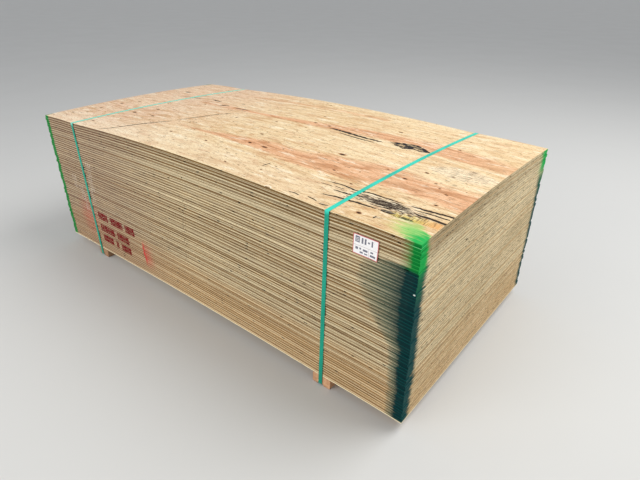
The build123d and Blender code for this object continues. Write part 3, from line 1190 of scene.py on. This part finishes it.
topFace = {
    "grid": 0.024,
    "clear": 0.0025,
    "spread": (1.17, 0.57),
    "splitStep": 0.009,
    "areaStep": 0.007,
    "areaLip": 0.006,
    "areaClear": 0.004,
    "areaGap": 0.003,
    "lipWide": 0.0016,
    "lipShake": (0.0018, 0.0010),
    "rimClear": 0.012,
    "splitDepth": 0.0022,
    "splitShake": (0.75, 1.2),
    "splitSlip": 0.22,
    "knotDepth": 0.0011,
    "splinterDepth": 0.0016,
    "splinterClear": 0.0016,
    "splinterWide": (0.0016, 0.0044),
    "splinterLong": (0.008, 0.034),
    "shortDepth": 0.0010,
    "shortClear": 0.004,
    "shortWide": (0.0008, 0.0018),
    "shortLong": (0.004, 0.020),
    "pinDepth": 0.0006,
    "pinLong": (0.0022, 0.0060),
    "openPast": 1.21,  # splits this far right run out of the end
    "seed": 5,
    "pinKnots": 90,
    "shortSplits": 46,
    "knots": (  # place, then half length along the grain; half as wide across
        (-1.079, -0.204, 16), (-1.077, -0.341, 15), (-0.802, -0.291, 19), (-0.624, -0.291, 15),
        (-0.736, -0.178, 14), (-0.845, -0.519, 12), (-0.274, -0.421, 11), (-0.014, -0.415, 11),
        (-0.710, 0.285, 14), (-1.043, 0.268, 22), (-1.127, -0.488, 11), (-1.054, -0.441, 11),
        (-0.204, -0.052, 10), (-1.026, -0.114, 13), (0.150, -0.435, 7), (0.170, -0.311, 14),
        (0.265, -0.313, 18), (0.584, -0.160, 19), (0.121, -0.185, 12), (0.020, 0.023, 9),
        (0.186, 0.142, 11), (0.277, 0.142, 12), (0.665, -0.323, 9), (0.139, 0.278, 9),
        (-0.233, 0.499, 9), (0.262, -0.541, 7), (-0.425, 0.208, 11), (-0.019, 0.531, 12),
        (0.194, -0.470, 5), (0.334, -0.533, 6), (0.715, 0.030, 6), (0.291, -0.105, 6),
        (0.381, -0.163, 5), (0.926, -0.211, 13), (0.962, -0.102, 11), (0.954, -0.561, 12),
        (0.596, 0.311, 14), (0.794, -0.384, 8), (1.118, -0.247, 9), (1.129, -0.348, 9),
        (0.934, 0.261, 10), (1.042, -0.179, 8),
    ),
    "splits": (  # width in millimetres, then the line it follows
        (8.5, ((-0.650, -0.604), (-0.599, -0.550), (-0.532, -0.430), (-0.436, -0.292))),
        (7.0, ((-0.430, -0.280), (-0.396, -0.190), (-0.341, -0.059), (-0.289, 0.008))),
        (15.0, ((0.296, 0.116), (0.380, 0.113), (0.450, 0.107), (0.530, 0.101), (0.622, 0.106))),
        (8.0, ((0.380, 0.082), (0.450, 0.076), (0.540, 0.072), (0.600, 0.074))),
        (8.0, ((0.760, -0.525), (0.815, -0.507), (0.893, -0.501), (0.950, -0.499), (0.998, -0.499))),
        (7.0, ((0.705, -0.424), (0.778, -0.413), (0.842, -0.419), (0.891, -0.406), (0.954, -0.409),
               (1.040, -0.409))),
        (8.6, ((1.062, -0.408), (1.123, -0.404), (1.170, -0.397), (1.2182, -0.391))),
        (7.0, ((0.771, -0.468), (0.828, -0.463), (0.882, -0.449), (0.915, -0.447))),
        (9.0, ((1.102, -0.452), (1.150, -0.448), (1.2182, -0.449))),
        (5.0, ((1.085, -0.428), (1.140, -0.421), (1.214, -0.416))),
        (4.2, ((0.940, -0.483), (0.985, -0.479), (1.030, -0.474))),
        (4.8, ((0.925, -0.462), (0.975, -0.466), (1.030, -0.459), (1.075, -0.447))),
        (4.4, ((0.935, -0.448), (0.985, -0.437), (1.045, -0.430), (1.080, -0.434))),
        (3.6, ((0.820, -0.437), (0.870, -0.432), (0.912, -0.427))),
        (3.2, ((0.700, -0.452), (0.742, -0.447), (0.760, -0.449))),
        (5.0, ((1.013, -0.566), (1.013, -0.543))),
        (4.4, ((0.414, -0.481), (0.422, -0.430))),
        (2.4, ((0.244, -0.023), (0.246, 0.018))),
        (2.0, ((0.427, -0.059), (0.428, 0.000))),
        (9.0, ((-0.860, 0.172), (-0.785, 0.177))),
        (9.0, ((-0.690, 0.190), (-0.585, 0.172))),
        (10.0, ((-0.524, 0.103), (-0.450, 0.120))),
        (10.0, ((-0.372, 0.091), (-0.328, 0.103), (-0.285, 0.112))),
        (7.0, ((-0.446, 0.202), (-0.411, 0.209))),
        (4.4, ((0.655, -0.587), (0.686, -0.582), (0.712, -0.584))),
        (4.0, ((0.735, -0.572), (0.761, -0.574), (0.790, -0.580))),
        (4.6, ((0.800, -0.588), (0.842, -0.580))),
        (5.0, ((-0.960, 0.118), (-0.918, 0.190))),
        (3.4, ((0.488, 0.154), (0.512, 0.155))),
        (3.4, ((0.545, 0.162), (0.575, 0.170))),
        (3.4, ((0.612, 0.176), (0.640, 0.181))),
        (3.4, ((0.395, 0.163), (0.420, 0.165))),
    ),
    "heartBands": (  # strength, then along the grain: x, middle, half width
        (1.0, ((-0.30, 0.085, 0.008), (0.10, 0.110, 0.022), (0.30, 0.140, 0.040), (0.50, 0.172, 0.050),
               (0.65, 0.205, 0.055), (0.83, 0.215, 0.062), (1.00, 0.185, 0.064), (1.23, 0.150, 0.062))),
        (1.0, ((-0.32, -0.318, 0.004), (-0.10, -0.318, 0.014), (0.06, -0.308, 0.030), (0.20, -0.300, 0.048),
               (0.43, -0.302, 0.062), (0.66, -0.268, 0.086), (0.82, -0.235, 0.092), (0.95, -0.238, 0.078),
               (1.10, -0.256, 0.076), (1.23, -0.268, 0.086))),
        (0.5, ((-0.60, 0.420, 0.02), (-0.20, 0.430, 0.04), (0.10, 0.440, 0.05), (0.45, 0.450, 0.03))),
        (0.28, ((-1.22, -0.150, 0.10), (-1.00, -0.170, 0.11), (-0.80, -0.200, 0.07), (-0.60, -0.220, 0.02))),
        (0.25, ((-1.22, 0.380, 0.09), (-1.00, 0.350, 0.08), (-0.75, 0.300, 0.03))),
        (0.5, ((-0.75, 0.130, 0.02), (-0.55, 0.120, 0.05), (-0.40, 0.105, 0.05), (-0.15, 0.080, 0.02))),
    ),
    "areas": (  # depth in millimetres, outline, mark: bared wood, and a pitch pocket by the far heartwood
        (1.9, ((0.980, -0.499), (1.008, -0.488), (1.047, -0.479), (1.109, -0.465), (1.164, -0.458),
               (1.217, -0.461), (1.217, -0.497), (1.168, -0.501), (1.112, -0.508), (1.059, -0.510),
               (1.008, -0.506)), "torn"),
        (1.2, ((0.640, 0.137), (0.672, 0.158), (0.713, 0.176), (0.764, 0.187), (0.800, 0.172), (0.858, 0.133),
               (0.812, 0.112), (0.775, 0.120), (0.735, 0.092), (0.690, 0.106)), "pitch"),
    ),
    "decay": (0.995, -0.450, 0.225, 0.050),
    "splinters": 500,
}


def pairs(line, closed=False):
    # each point of a line with the next one
    return list(zip(line, [*line[1:], line[0]] if closed else line[1:]))


def onWay(first, last, share):
    return tuple(a + (b - a) * share for a, b in zip(first, last))


def heartShare(x, y):
    # how much heartwood a place on the top face holds
    best = 0.0
    for strength, band in topFace["heartBands"]:
        for first, last in pairs(band):
            if first[0] <= x <= last[0]:
                _, middle, half = onWay(first, last, (x - first[0]) / (last[0] - first[0]))
                off = abs(y - middle) / half
                best = max(best, strength * min(1.0, max(0.0, 1.35 - 0.75 * off)))
    return best


def insideOf(x, y, outline):
    inside = False
    for (x0, y0), (x1, y1) in pairs(outline, True):
        if (y0 > y) != (y1 > y) and x < (x1 - x0) * (y - y0) / (y1 - y0) + x0:
            inside = not inside
    return inside


def toSegment(x, y, x0, y0, x1, y1):
    wide, high = x1 - x0, y1 - y0
    t = max(0.0, min(1.0, ((x - x0) * wide + (y - y0) * high) / (wide * wide + high * high)))
    return math.hypot(x - x0 - wide * t, y - y0 - high * t)


splitRows = (  # the lines along a split: share across, shade, then its least and usual depth
    (-1.9, 0.0, 0.0, 0.0),
    (-1.0, 0.75, 0.0, 0.5),
    (0.0, 1.0, 0.15, 1.0),
    (1.0, 0.75, 0.0, 0.5),
    (1.9, 0.0, 0.0, 0.0),
)
knotRings = (  # round a knot: reach, shade, depth
    (0.55, 0.92, 0.8),
    (0.85, 0.55, 0.15),
    (1.1, 0.22, -0.12),
    (1.5, 0.0, 0.0),
)


def wornFace(columns, depths):
    draw = random.Random(topFace["seed"])
    points, edges = rimPoints(columns, depths)
    depth = [0.0] * len(points)
    marked = {mark: [0.0] * len(points) for mark in faceMarks}

    def put(x, y, drop=0.0, **values):
        points.append((x, y))
        depth.append(drop)
        for mark in faceMarks:
            marked[mark].append(values.get(mark, 0.0))
        return len(points) - 1

    keepOff = []  # (x0, y0, x1, y1, reach) that later points stay clear of

    def isClear(x, y, reach):
        inward = topFace["rimClear"] + reach
        if abs(x) > halfLength - inward or abs(y) > halfWidth - inward:
            return False
        return all(toSegment(x, y, *line[:4]) > line[4] + reach for line in keepOff)

    def addSplit(wide, line, deep):
        rows = [[] for _ in splitRows]
        length = sum(math.dist(a, b) for a, b in pairs(line))
        count = max(3, round(length / topFace["splitStep"]))
        for step in range(count + 1):
            at = length * step / count
            for a, b in pairs(line):
                span = math.dist(a, b)
                if at <= span + 1e-9:
                    break
                at -= span
            x, y = onWay(a, b, min(1.0, at / span))
            side = ((a[1] - b[1]) / span, (b[0] - a[0]) / span)
            taper = math.sin(math.pi * step / count) ** 0.4 if 0 < step < count else 0.0
            if line[-1][0] > topFace["openPast"] and step > count / 2:
                taper = 1.0
            half = wide / 2 * (0.25 + 0.75 * taper) * draw.uniform(*topFace["splitShake"])
            slip = draw.uniform(-topFace["splitSlip"], topFace["splitSlip"]) * wide
            for row, (share, shade, least, usual) in zip(rows, splitRows):
                off = slip + share * half
                drop = deep * max(least, usual * taper)
                shade = shade * (0.35 + 0.65 * taper)
                row.append(put(x + side[0] * off, y + side[1] * off, drop, crack=shade))
        for row in rows:
            edges.extend(pairs(row))
        for a, b in pairs(line):
            keepOff.append((*a, *b, wide * 1.4 + 0.001))

    def addKnot(x, y, long, wide, deep):
        if not isClear(x, y, wide * 1.2):
            return
        turn = draw.uniform(-0.2, 0.2)
        put(x, y, deep, knot=1.0)
        spin = draw.uniform(0, 1)
        for reach, value, drop in knotRings:
            count = 9 if reach < 1 else 11
            ring = []
            for step in range(count):
                angle = (step + spin) / count * 2 * math.pi
                wobble = draw.uniform(0.86, 1.14) if reach < 1.4 else 1.0
                u = math.cos(angle) * long * reach * wobble
                v = math.sin(angle) * wide * reach * wobble
                ringX = x + u * math.cos(turn) - v * math.sin(turn)
                ringY = y + u * math.sin(turn) + v * math.cos(turn)
                ring.append(put(ringX, ringY, deep * drop, knot=value))
            edges.extend(pairs(ring, True))
        keepOff.append((x - long * 1.2, y, x + long * 1.2, y, wide * 1.6 + 0.001))

    def addArea(deep, outline, mark):
        middle = tuple(sum(values) / len(outline) for values in zip(*outline))
        lip = []
        for a, b in pairs(outline, True):
            count = max(2, round(math.dist(a, b) / topFace["areaLip"]))
            for step in range(count):
                place = onWay(a, b, step / count)
                shaken = [at + draw.uniform(-shake, shake) for at, shake in zip(place, topFace["lipShake"])]
                lip.append(tuple(shaken))
        rims = ([], [])
        for place in lip:
            rims[0].append(put(*place))
            inner = onWay(place, middle, topFace["lipWide"] / math.dist(place, middle))
            rims[1].append(put(*inner, deep * draw.uniform(0.75, 1.0), **{mark: 1.0}))
        for rim in rims:
            edges.extend(pairs(rim, True))
        low = [min(values) for values in zip(*lip)]
        high = [max(values) for values in zip(*lip)]
        spacing = topFace["areaStep"]
        y = low[1]
        while y < high[1]:
            x = low[0] + draw.uniform(0, spacing)
            while x < high[0]:
                away = all(toSegment(x, y, *a, *b) > topFace["areaClear"] for a, b in pairs(lip, True))
                if away and insideOf(x, y, lip):
                    put(x, y, deep * draw.uniform(0.55, 1.25), **{mark: 1.0})
                x += spacing * draw.uniform(0.8, 1.4)
            y += spacing * 0.55
        for a, b in pairs(outline, True):
            keepOff.append((*a, *b, topFace["areaGap"]))

    def inArea(x, y):
        return any(insideOf(x, y, outline) for _, outline, _ in topFace["areas"])

    def anywhere():
        return [draw.uniform(-reach, reach) for reach in topFace["spread"]]

    for deep, outline, mark in topFace["areas"]:
        addArea(deep / 1000, outline, mark)
    for wide, line in topFace["splits"]:
        addSplit(wide / 1000, line, topFace["splitDepth"])
    for x, y, long in topFace["knots"]:
        addKnot(x, y, long / 1000, long / 1000 * draw.uniform(0.42, 0.62), topFace["knotDepth"])
    middleX, middleY, reachX, reachY = topFace["decay"]
    for _ in range(topFace["splinters"]):
        turn = draw.uniform(0, 2 * math.pi)
        reach = math.sqrt(draw.uniform(0, 1))
        x, y = middleX + reachX * reach * math.cos(turn), middleY + reachY * reach * math.sin(turn)
        long = draw.uniform(*topFace["splinterLong"])
        lean = draw.uniform(-0.12, 0.06)
        middle = (x, y + draw.uniform(-0.001, 0.001))
        line = ((x - long, y - long * lean), middle, (x + long, y + long * lean))
        if all(isClear(*place, topFace["splinterClear"]) and not inArea(*place) for place in line):
            addSplit(draw.uniform(*topFace["splinterWide"]), line, topFace["splinterDepth"])
    for _ in range(topFace["shortSplits"]):
        x, y = anywhere()
        long = draw.uniform(*topFace["shortLong"])
        line = ((x - long, y), (x + long, y + draw.uniform(-0.002, 0.002)))
        if all(isClear(*place, topFace["shortClear"]) for place in line):
            addSplit(draw.uniform(*topFace["shortWide"]), line, topFace["shortDepth"])
    for _ in range(topFace["pinKnots"]):
        x, y = anywhere()
        long = draw.uniform(*topFace["pinLong"])
        if not inArea(x, y):
            addKnot(x, y, long, long * draw.uniform(0.5, 0.9), topFace["pinDepth"])
    across, up = round(pack["length"] / topFace["grid"]), round(pack["width"] / topFace["grid"])
    for i in range(1, across):
        for j in range(1, up):
            x = -halfLength + pack["length"] * i / across
            y = -halfWidth + pack["width"] * j / up
            if isClear(x, y, topFace["clear"]) and not inArea(x, y):
                put(x, y, draw.uniform(-0.0001, 0.0002))
    for k, (x, y) in enumerate(points):
        off = math.hypot((x - middleX) / reachX, (y - middleY) / reachY)
        marked["decay"][k] = min(1.0, max(0.0, 1.25 - off))
        marked["heart"][k] = heartShare(x, y)
    return points, edges, depth, marked


def buildSheets():
    finishes = (plyEdgeFinish(), veneerFinish())
    tree = stackingTree()
    perNode = pack["perNode"]
    last = pack["count"] - 1
    for first in range(0, pack["count"], perNode):
        node = f"sheets_{first + 1:02d}_to_{first + perNode:02d}"
        count = min(perNode, last - first)  # the top sheet is made by itself
        blank = sheetBlank("sheetBlank", edge["seed"] + first)
        name = f"plywood_{first + 1:02d}_to_{first + count:02d}"
        piece = pileOf(tree, blank, name, first, count, finishes)
        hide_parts(node)
        print("sheets made", piece.name, len(piece.data.polygons))
    blank = sheetBlank("topBlank", edge["topSeed"], edge["chips"], wornFace)
    piece = pileOf(tree, blank, "top_sheet", last, 1, finishes)
    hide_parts(node)
    print("top sheet made", len(piece.data.polygons))


buildSheets()


straps = {
    "width": 0.019,
    "thickness": 0.001,
    "clearance": 0.0003,
    "foot": 0.0077,
    "bend": 0.002,
    "bendCount": 4,
    "step": 0.0019,
    "weave": 0.0076,  # one diamond of the embossing
    "relief": 0.00022,
    "ridgeEnd": (0.0088, 0.0078),  # the ridges fade out between these, from the middle
    "legHeights": (0.1, 0.25, 0.4, 0.55, 0.7),
    "topSteps": 16,
    "outerPoints": 13,
    "sheenHeights": (0.795, 0.812),  # painted sheen: lighter above these, and more worn
    "side": halfWidth + pack["stray"] + 0.0003,
    "left": {"node": "left_strap", "foot": -0.890, "front": -0.900, "back": -0.848, "lap": ("top", 0.205)},
    "right": {"node": "right_strap", "foot": 0.834, "front": 0.859, "back": 0.865, "lap": ("back", 0.420)},
    "lapLength": 0.060,
    "sharpAngle": 45,
}
strapTones = {
    "side": (6, 156, 128),
    "deep": (0, 112, 92),
    # painted sheen: the top tone is lighter than the side
    "top": (48, 214, 188),
    "worn": (150, 222, 198),
}


def strapRoute(which):
    # the strap's middle line: under the bearer, up the back, over the pack and down the front
    foot, front, back = which["foot"], which["front"], which["back"]
    half = straps["thickness"] / 2
    side = straps["side"] + half
    lift = straps["clearance"] + half
    top = topOfPack(front, halfWidth) + lift
    points = [(foot, -side, straps["foot"] - half), (foot, side, straps["foot"] - half)]
    points += [(foot + (back - foot) / top * z, side, z) for z in straps["legHeights"]]
    points.append((back, side, top))
    for step in range(1, straps["topSteps"]):
        y = side - 2 * side * step / straps["topSteps"]
        x = front + (back - front) * (y + side) / (2 * side)
        points.append((x, y, topOfPack(x, y) + lift))
    points.append((front, -side, top))
    return points + [(foot + (front - foot) / top * z, -side, z) for z in reversed(straps["legHeights"])]


def strapTree():
    tree, board, take = newTree("strapBand", {
        "Object": ("section",),
        "Material": ("finish",),
        "Float": ("bend", "step", "weave", "relief", "thickness", "lapStart", "lapEnd"),
    })
    sockets = {"Curve": take["Geometry"], "Count": straps["bendCount"], "Radius": take["bend"]}
    bent = board.add("GeometryNodeFilletCurve", {"mode": "POLY"}, sockets)
    across, lift, _ = board.split(board.add("GeometryNodeInputPosition"))
    section = board.store(board.shapeOf(take["section"]), "across", across)
    section = board.store(section, "outer", lift > straps["thickness"] * 0.4)
    raised = {"Geometry": section, "Translation": board.vector(0.0, take["thickness"], 0.0)}
    lapSection = board.add("GeometryNodeTransform", None, raised)

    def band(line, profile, capped):
        sockets = {"Curve": line, "Length": take["step"]}
        even = board.add("GeometryNodeResampleCurve", {"mode": "LENGTH"}, sockets)
        sockets = {"Curve": even, "Normal": (1.0, 0.0, 0.0)}
        aimed = board.add("GeometryNodeSetCurveNormal", {"mode": "FREE"}, sockets)
        run = board.add("GeometryNodeSplineParameter", None, None, "Length")
        sockets = {"Curve": board.store(aimed, "along", run), "Profile Curve": profile, "Fill Caps": capped}
        return board.add("GeometryNodeCurveToMesh", None, sockets)

    whole = band(bent, section, False)
    sockets = {"Curve": bent, "Start": take["lapStart"], "End": take["lapEnd"]}
    lap = band(board.add("GeometryNodeTrimCurve", {"mode": "LENGTH"}, sockets), lapSection, True)
    join = board.add("GeometryNodeJoinGeometry", None, {"Geometry": whole})
    board.feed(join.socket.node.inputs["Geometry"], lap)
    real = board.add("GeometryNodeRealizeInstances", None, {"Geometry": join})

    # crossing ridges pressed into the outer face
    turn = math.pi / take["weave"]
    along, across = board.named("along"), board.named("across")
    ridges = ((along + across) * turn).sine() * ((along - across) * turn).sine()
    lifted = ridges * abs(across).ease(*straps["ridgeEnd"]) * board.named("outer") * take["relief"]
    real = board.moved(real, board.scaled(board.add("GeometryNodeInputNormal"), lifted))
    return endTree(tree, board.painted(real, take["finish"]))


def strapSection():
    # flat inside, many points outside for the embossing, rounded at both edges
    half, rise = straps["width"] / 2, straps["thickness"] / 2
    lean = rise * 0.6
    count = straps["outerPoints"]
    points = [(half, 0.0), (half - lean * 0.3, rise * 0.7)]
    points += [((half - lean) * (1 - 2 * step / (count - 1)), rise) for step in range(count)]
    points += [(-half + lean * 0.3, rise * 0.7), (-half, 0.0), (-half + lean, -rise), (half - lean, -rise)]
    return addLoop("strapSection", [(x, y, 0) for x, y in points])


def strapFinish():
    material, board = newMaterial("strapFinish")
    tone = tonesOf(strapTones)
    x, y, z = board.split(board.place())
    # the run over the top is lighter than the legs: a painted sheen of the light from above
    sheenOnTop = z.ease(*straps["sheenHeights"])
    cloud = board.noise((x * 20, y * 6, z * 6), 3.0)
    scuff = board.noise((x * 900, y * 60, z * 60), 2.0, 0.6)
    coats = Coats(board, tone, board.mixed(sheenOnTop, tone["side"], tone["top"]))
    coats.lay(cloud.ease(0.3, 0.7) * 0.4, "deep")
    faded = x.ease(0.0, -0.8) * sheenOnTop
    coats.lay(scuff.ease(0.6, 0.8) * 0.25 + faded * 0.7, "worn")
    relief = board.bump(scuff, 0.0001, 0.5)
    board.finish(coats.colour, scuff.ease(0.3, 0.8, 0.34, 0.48), relief, specular=0.25)
    return material


def buildStraps():
    finish = strapFinish()
    tree = strapTree()
    section = strapSection()
    for which in (straps["left"], straps["right"]):
        points = strapRoute(which)
        lengths = [math.dist(a, b) for a, b in pairs(points)]
        where, at = which["lap"]
        if where == "top":
            start = sum(lengths[:len(straps["legHeights"]) + 2]) + straps["side"] - at
        else:
            start = lengths[0] + at
        start -= straps["lapLength"] / 2
        piece = shaped(addLoop(which["node"] + "Route", points), tree, {
            "section": section,
            "finish": finish,
            "lapStart": start,
            "lapEnd": start + straps["lapLength"],
            **{name: straps[name] for name in ("bend", "step", "weave", "relief", "thickness")},
        }, which["node"] + "_band")
        dropMarks(piece.data, ("across", "outer", "along"))
        piece.data.set_sharp_from_angle(angle=math.radians(straps["sharpAngle"]))
        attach(piece, "root")
        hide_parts(which["node"])
        print("strap made", piece.name, len(piece.data.polygons))
    bpy.data.objects.remove(section)


buildStraps()


bearers = {
    "width": 0.092,
    "height": 0.051,
    "groove": (0.030, 0.008),
    "corner": 0.004,
    "wornCorner": 0.006,  # how far from a corner the wear is heavier
    "onFloor": 0.0005,
    "aroundStep": 0.009,
    "step": 0.02,
    "rough": 0.0009,
    "nickShare": 0.12,
    "cornerWear": 1.6,
    "nickWear": 3.2,
    "seed": 21,
    "sharpAngle": 30,
    "left_bearer": {"x": -0.877, "foot": -0.890},
    "right_bearer": {"x": 0.838, "foot": 0.834},
    "hearts": ((0.820, -0.055), (-0.905, -0.060)),  # x and z of the middle of the year rings
}
timberTones = {
    "light": (234, 190, 148),
    "warm": (202, 154, 114),
    "ring": (190, 134, 92),
    "blotch": (136, 98, 74),
    # painted shade near the floor
    "foot": (96, 76, 60),
    # painted shade towards the left end
    "leftEndShade": (98, 72, 54),
    "check": (62, 44, 32),
}


def bearerSection(foot):
    # once round, from the groove: (x from the middle, z), close enough for sawn wear
    half, high, corner = bearers["width"] / 2, bearers["height"], bearers["corner"]
    wide, deep = bearers["groove"]
    line = [(foot + wide / 2, deep), (foot + wide / 2, 0.0), (half - corner, 0.0), (half, corner)]
    line += [(half, high - corner), (half - corner, high), (-half + corner, high), (-half, high - corner)]
    line += [(-half, corner), (-half + corner, 0.0), (foot - wide / 2, 0.0), (foot - wide / 2, deep)]
    points = []
    for a, b in pairs(line, True):
        count = max(1, round(math.dist(a, b) / bearers["aroundStep"]))
        points += [onWay(a, b, k / count) for k in range(count)]
    return points


def timberFinish():
    material, board = newMaterial("timberFinish")
    tone = tonesOf(timberTones)
    spot = board.place()
    x, y, z = board.split(spot)
    end = abs(y).ease(halfWidth - 0.0012, halfWidth - 0.0006)
    grain = board.noise((x * 75, y * 3, z * 75), 4.0, 0.6)
    wobble = board.noise((x * 30, y * 4, z * 30)) - 0.5
    left, right = [oval(x, z, (*heart, 1, 1)) ** 0.5 for heart in bearers["hearts"]]
    rings = ((left.least(right) + wobble * 0.006) * 1500).sine() * 0.5 + 0.5
    saw = ((y * 820 + x * 160 + wobble * 4).sine() * 0.5 + 0.5) * grain.ease(0.35, 0.6)
    blotch = board.noise(spot, 3.0, scale=7.0)
    coats = Coats(board, tone, board.mixed(grain.ease(0.35, 0.65), tone["light"], tone["warm"]))
    coats.lay(end * rings * 0.6, "ring")
    coats.lay(blotch.ease(0.5, 0.75) * 0.35, "blotch")
    # painted shade: darker at the foot, where the timber meets the floor
    coats.lay(z.ease(0.006, 0.0) * 0.5, "foot")
    # painted shade: darker towards the left end
    coats.lay(x.ease(0.0, -0.7) * 0.55, "leftEndShade")
    check = board.noise((x * 160, y * 2.2, z * 160)).ease(0.70, 0.74)
    coats.lay(check * 0.8, "check")
    relief = grain * 0.6 + saw * 0.35 * (1 - end) + rings * end * 0.3 - check
    board.finish(coats.colour, 0.82, board.bump(relief, 0.001, 0.8), specular=0.3)
    return material


def buildBearers():
    finish = timberFinish()
    middle = bearers["height"] / 2
    corner = bearers["wornCorner"]
    stations = round(pack["width"] / bearers["step"])
    for node in ("left_bearer", "right_bearer"):
        draw = random.Random(bearers["seed"] + len(node))
        place = bearers[node]
        section = bearerSection(place["foot"] - place["x"])
        around = len(section)
        wear = [draw.uniform(0.2, 1.0) for _ in section]
        verts = []
        for station in range(stations + 1):
            y = -halfWidth + pack["width"] * station / stations
            atCorner = bearers["nickWear" if draw.random() < bearers["nickShare"] else "cornerWear"]
            for k, (x, z) in enumerate(section):
                worn = bearers["rough"] * wear[k] * draw.uniform(0.3, 1.0)
                if abs(x) > bearers["width"] / 2 - corner and not corner < z < bearers["height"] - corner:
                    worn *= atCorner
                pull = worn / math.hypot(x, z - middle)
                height = z if z < bearers["onFloor"] else z - (z - middle) * pull
                verts.append((place["x"] + x * (1 - pull), y, height))
        faces = []
        for station in range(stations):
            for k in range(around):
                a, b = station * around + k, station * around + (k + 1) % around
                faces.append((b, a, a + around, b + around))
        faces.append(tuple(range(around)))
        faces.append(tuple(reversed(range(stations * around, (stations + 1) * around))))
        piece = addMesh(node + "_timber", verts, faces)
        piece.data.materials.append(finish)
        piece.data.set_sharp_from_angle(angle=math.radians(bearers["sharpAngle"]))
        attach(piece, "root")
        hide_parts(node)
        print("bearer made", piece.name, len(faces))


buildBearers()


paperTag = {
    "size": (0.100, 0.075),
    "middle": (1.022, 0.730),
    "tilt": -1.5,
    "thickness": 0.0004,
    "face": -0.6124,
    "curl": 0.0022,
    "rightCurl": (0.72, 0.62, 28),  # lifts right of, below, by
    "leftCurl": (0.16, 18),  # lifts left of, by
    "ripple": 0.00022,
    "waves": (9, 4, 7),
    "cells": (28, 21),
    "sharpAngle": 40,
    "bars": (  # plain bars and blocks: left, foot, right, top
        (0.08, 0.60, 0.27, 0.92),
        (0.33, 0.60, 0.41, 0.90),
        (0.45, 0.60, 0.53, 0.90),
        (0.58, 0.70, 0.67, 0.80),
        (0.72, 0.60, 0.79, 0.90),
        (0.10, 0.24, 0.22, 0.38),
        (0.28, 0.10, 0.42, 0.20),
        (0.26, 0.27, 0.34, 0.38),
        (0.40, 0.24, 0.60, 0.36),
        (0.46, 0.10, 0.60, 0.18),
        (0.69, 0.10, 0.92, 0.22),
        (0.70, 0.28, 0.82, 0.38),
    ),
}
tagTones = {
    "paper": (247, 244, 242),
    "shade": (222, 218, 216),
    "red": (204, 62, 58),
    "ink": (28, 34, 74),
    "rule": (150, 120, 124),
}


def tagFinish():
    material, board = newMaterial("tagFinish")
    tone = tonesOf(tagTones)
    u, v, _ = board.split(board.attribute("tagPlace", "Vector"))
    fibre = board.noise(board.place(), 3.0, scale=700.0)
    coats = Coats(board, tone, board.mixed(fibre * 0.3, tone["paper"], tone["shade"]))
    frameLine = (0.5 - abs(u - 0.5)).least((0.5 - abs(v - 0.5)) * 0.75).ease(0.030, 0.024)
    coats.lay(frameLine * 0.85, "red")
    rule = v.near(0.46, 0.012, 0.006).most(u.near(0.64, 0.009, 0.004) * (v < 0.46))
    coats.lay(rule * 0.7, "rule")
    broken = board.noise((u * 60, v * 60, 1.0), 3.0).ease(0.28, 0.42)
    bars = []
    for left, foot, right, top in paperTag["bars"]:
        wide, high = (right - left) / 2, (top - foot) / 2
        bar = u.near((left + right) / 2, wide, wide - 0.012)
        bars.append(bar * v.near((foot + top) / 2, high, high - 0.016))
    square = u.near(0.175, 0.065, 0.055) * v.near(0.76, 0.115, 0.10)
    lines = (v * 14).part().near(0.5, 0.22, 0.14)
    coats.lay(anyOf(bars) * (1 - square * lines) * broken * 0.85, "ink")
    board.finish(coats.colour, 0.62, board.bump(fibre, 0.0001, 0.4), specular=0.35)
    return material


def buildTag():
    wide, high = paperTag["size"]
    middleX, middleZ = paperTag["middle"]
    across, down = paperTag["cells"]
    turn = math.radians(paperTag["tilt"])
    rightOf, below, rightLift = paperTag["rightCurl"]
    leftOf, leftLift = paperTag["leftCurl"]
    acrossU, acrossV, downV = paperTag["waves"]
    verts, places = [], []
    for layer in (0, 1):
        for j in range(down + 1):
            for i in range(across + 1):
                u, v = i / across, j / down
                x, z = (u - 0.5) * wide, (v - 0.5) * high
                curl = max(0.0, u - rightOf) ** 2 * max(0.0, below - v) * rightLift
                curl += max(0.0, leftOf - u) ** 2 * v * leftLift
                wave = math.sin(u * acrossU + v * acrossV) * math.sin(v * downV)
                ripple = (wave + 1) * paperTag["ripple"]
                y = paperTag["face"] - curl * paperTag["curl"] - ripple - layer * paperTag["thickness"]
                turnedX = middleX + x * math.cos(turn) - z * math.sin(turn)
                verts.append((turnedX, y, middleZ + x * math.sin(turn) + z * math.cos(turn)))
                places += (u, v, 0.0)
    row = across + 1
    sheet = row * (down + 1)
    faces = []
    for j in range(down):
        for i in range(across):
            a = j * row + i
            faces.append((a + row, a + row + 1, a + 1, a))
            faces.append((sheet + a, sheet + a + 1, sheet + a + row + 1, sheet + a + row))
    ring = list(range(across)) + [j * row + across for j in range(down)]
    ring += [down * row + across - i for i in range(across)] + [(down - j) * row for j in range(down)]
    faces += [(a, b, b + sheet, a + sheet) for a, b in pairs(ring, True)]
    piece = addMesh("tag_sheet", verts, faces)
    piece.data.attributes.new("tagPlace", "FLOAT_VECTOR", "POINT").data.foreach_set("vector", places)
    piece.data.materials.append(tagFinish())
    piece.data.set_sharp_from_angle(angle=math.radians(paperTag["sharpAngle"]))
    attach(piece, "root")
    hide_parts("paper_tag")


buildTag()
print("tag made")
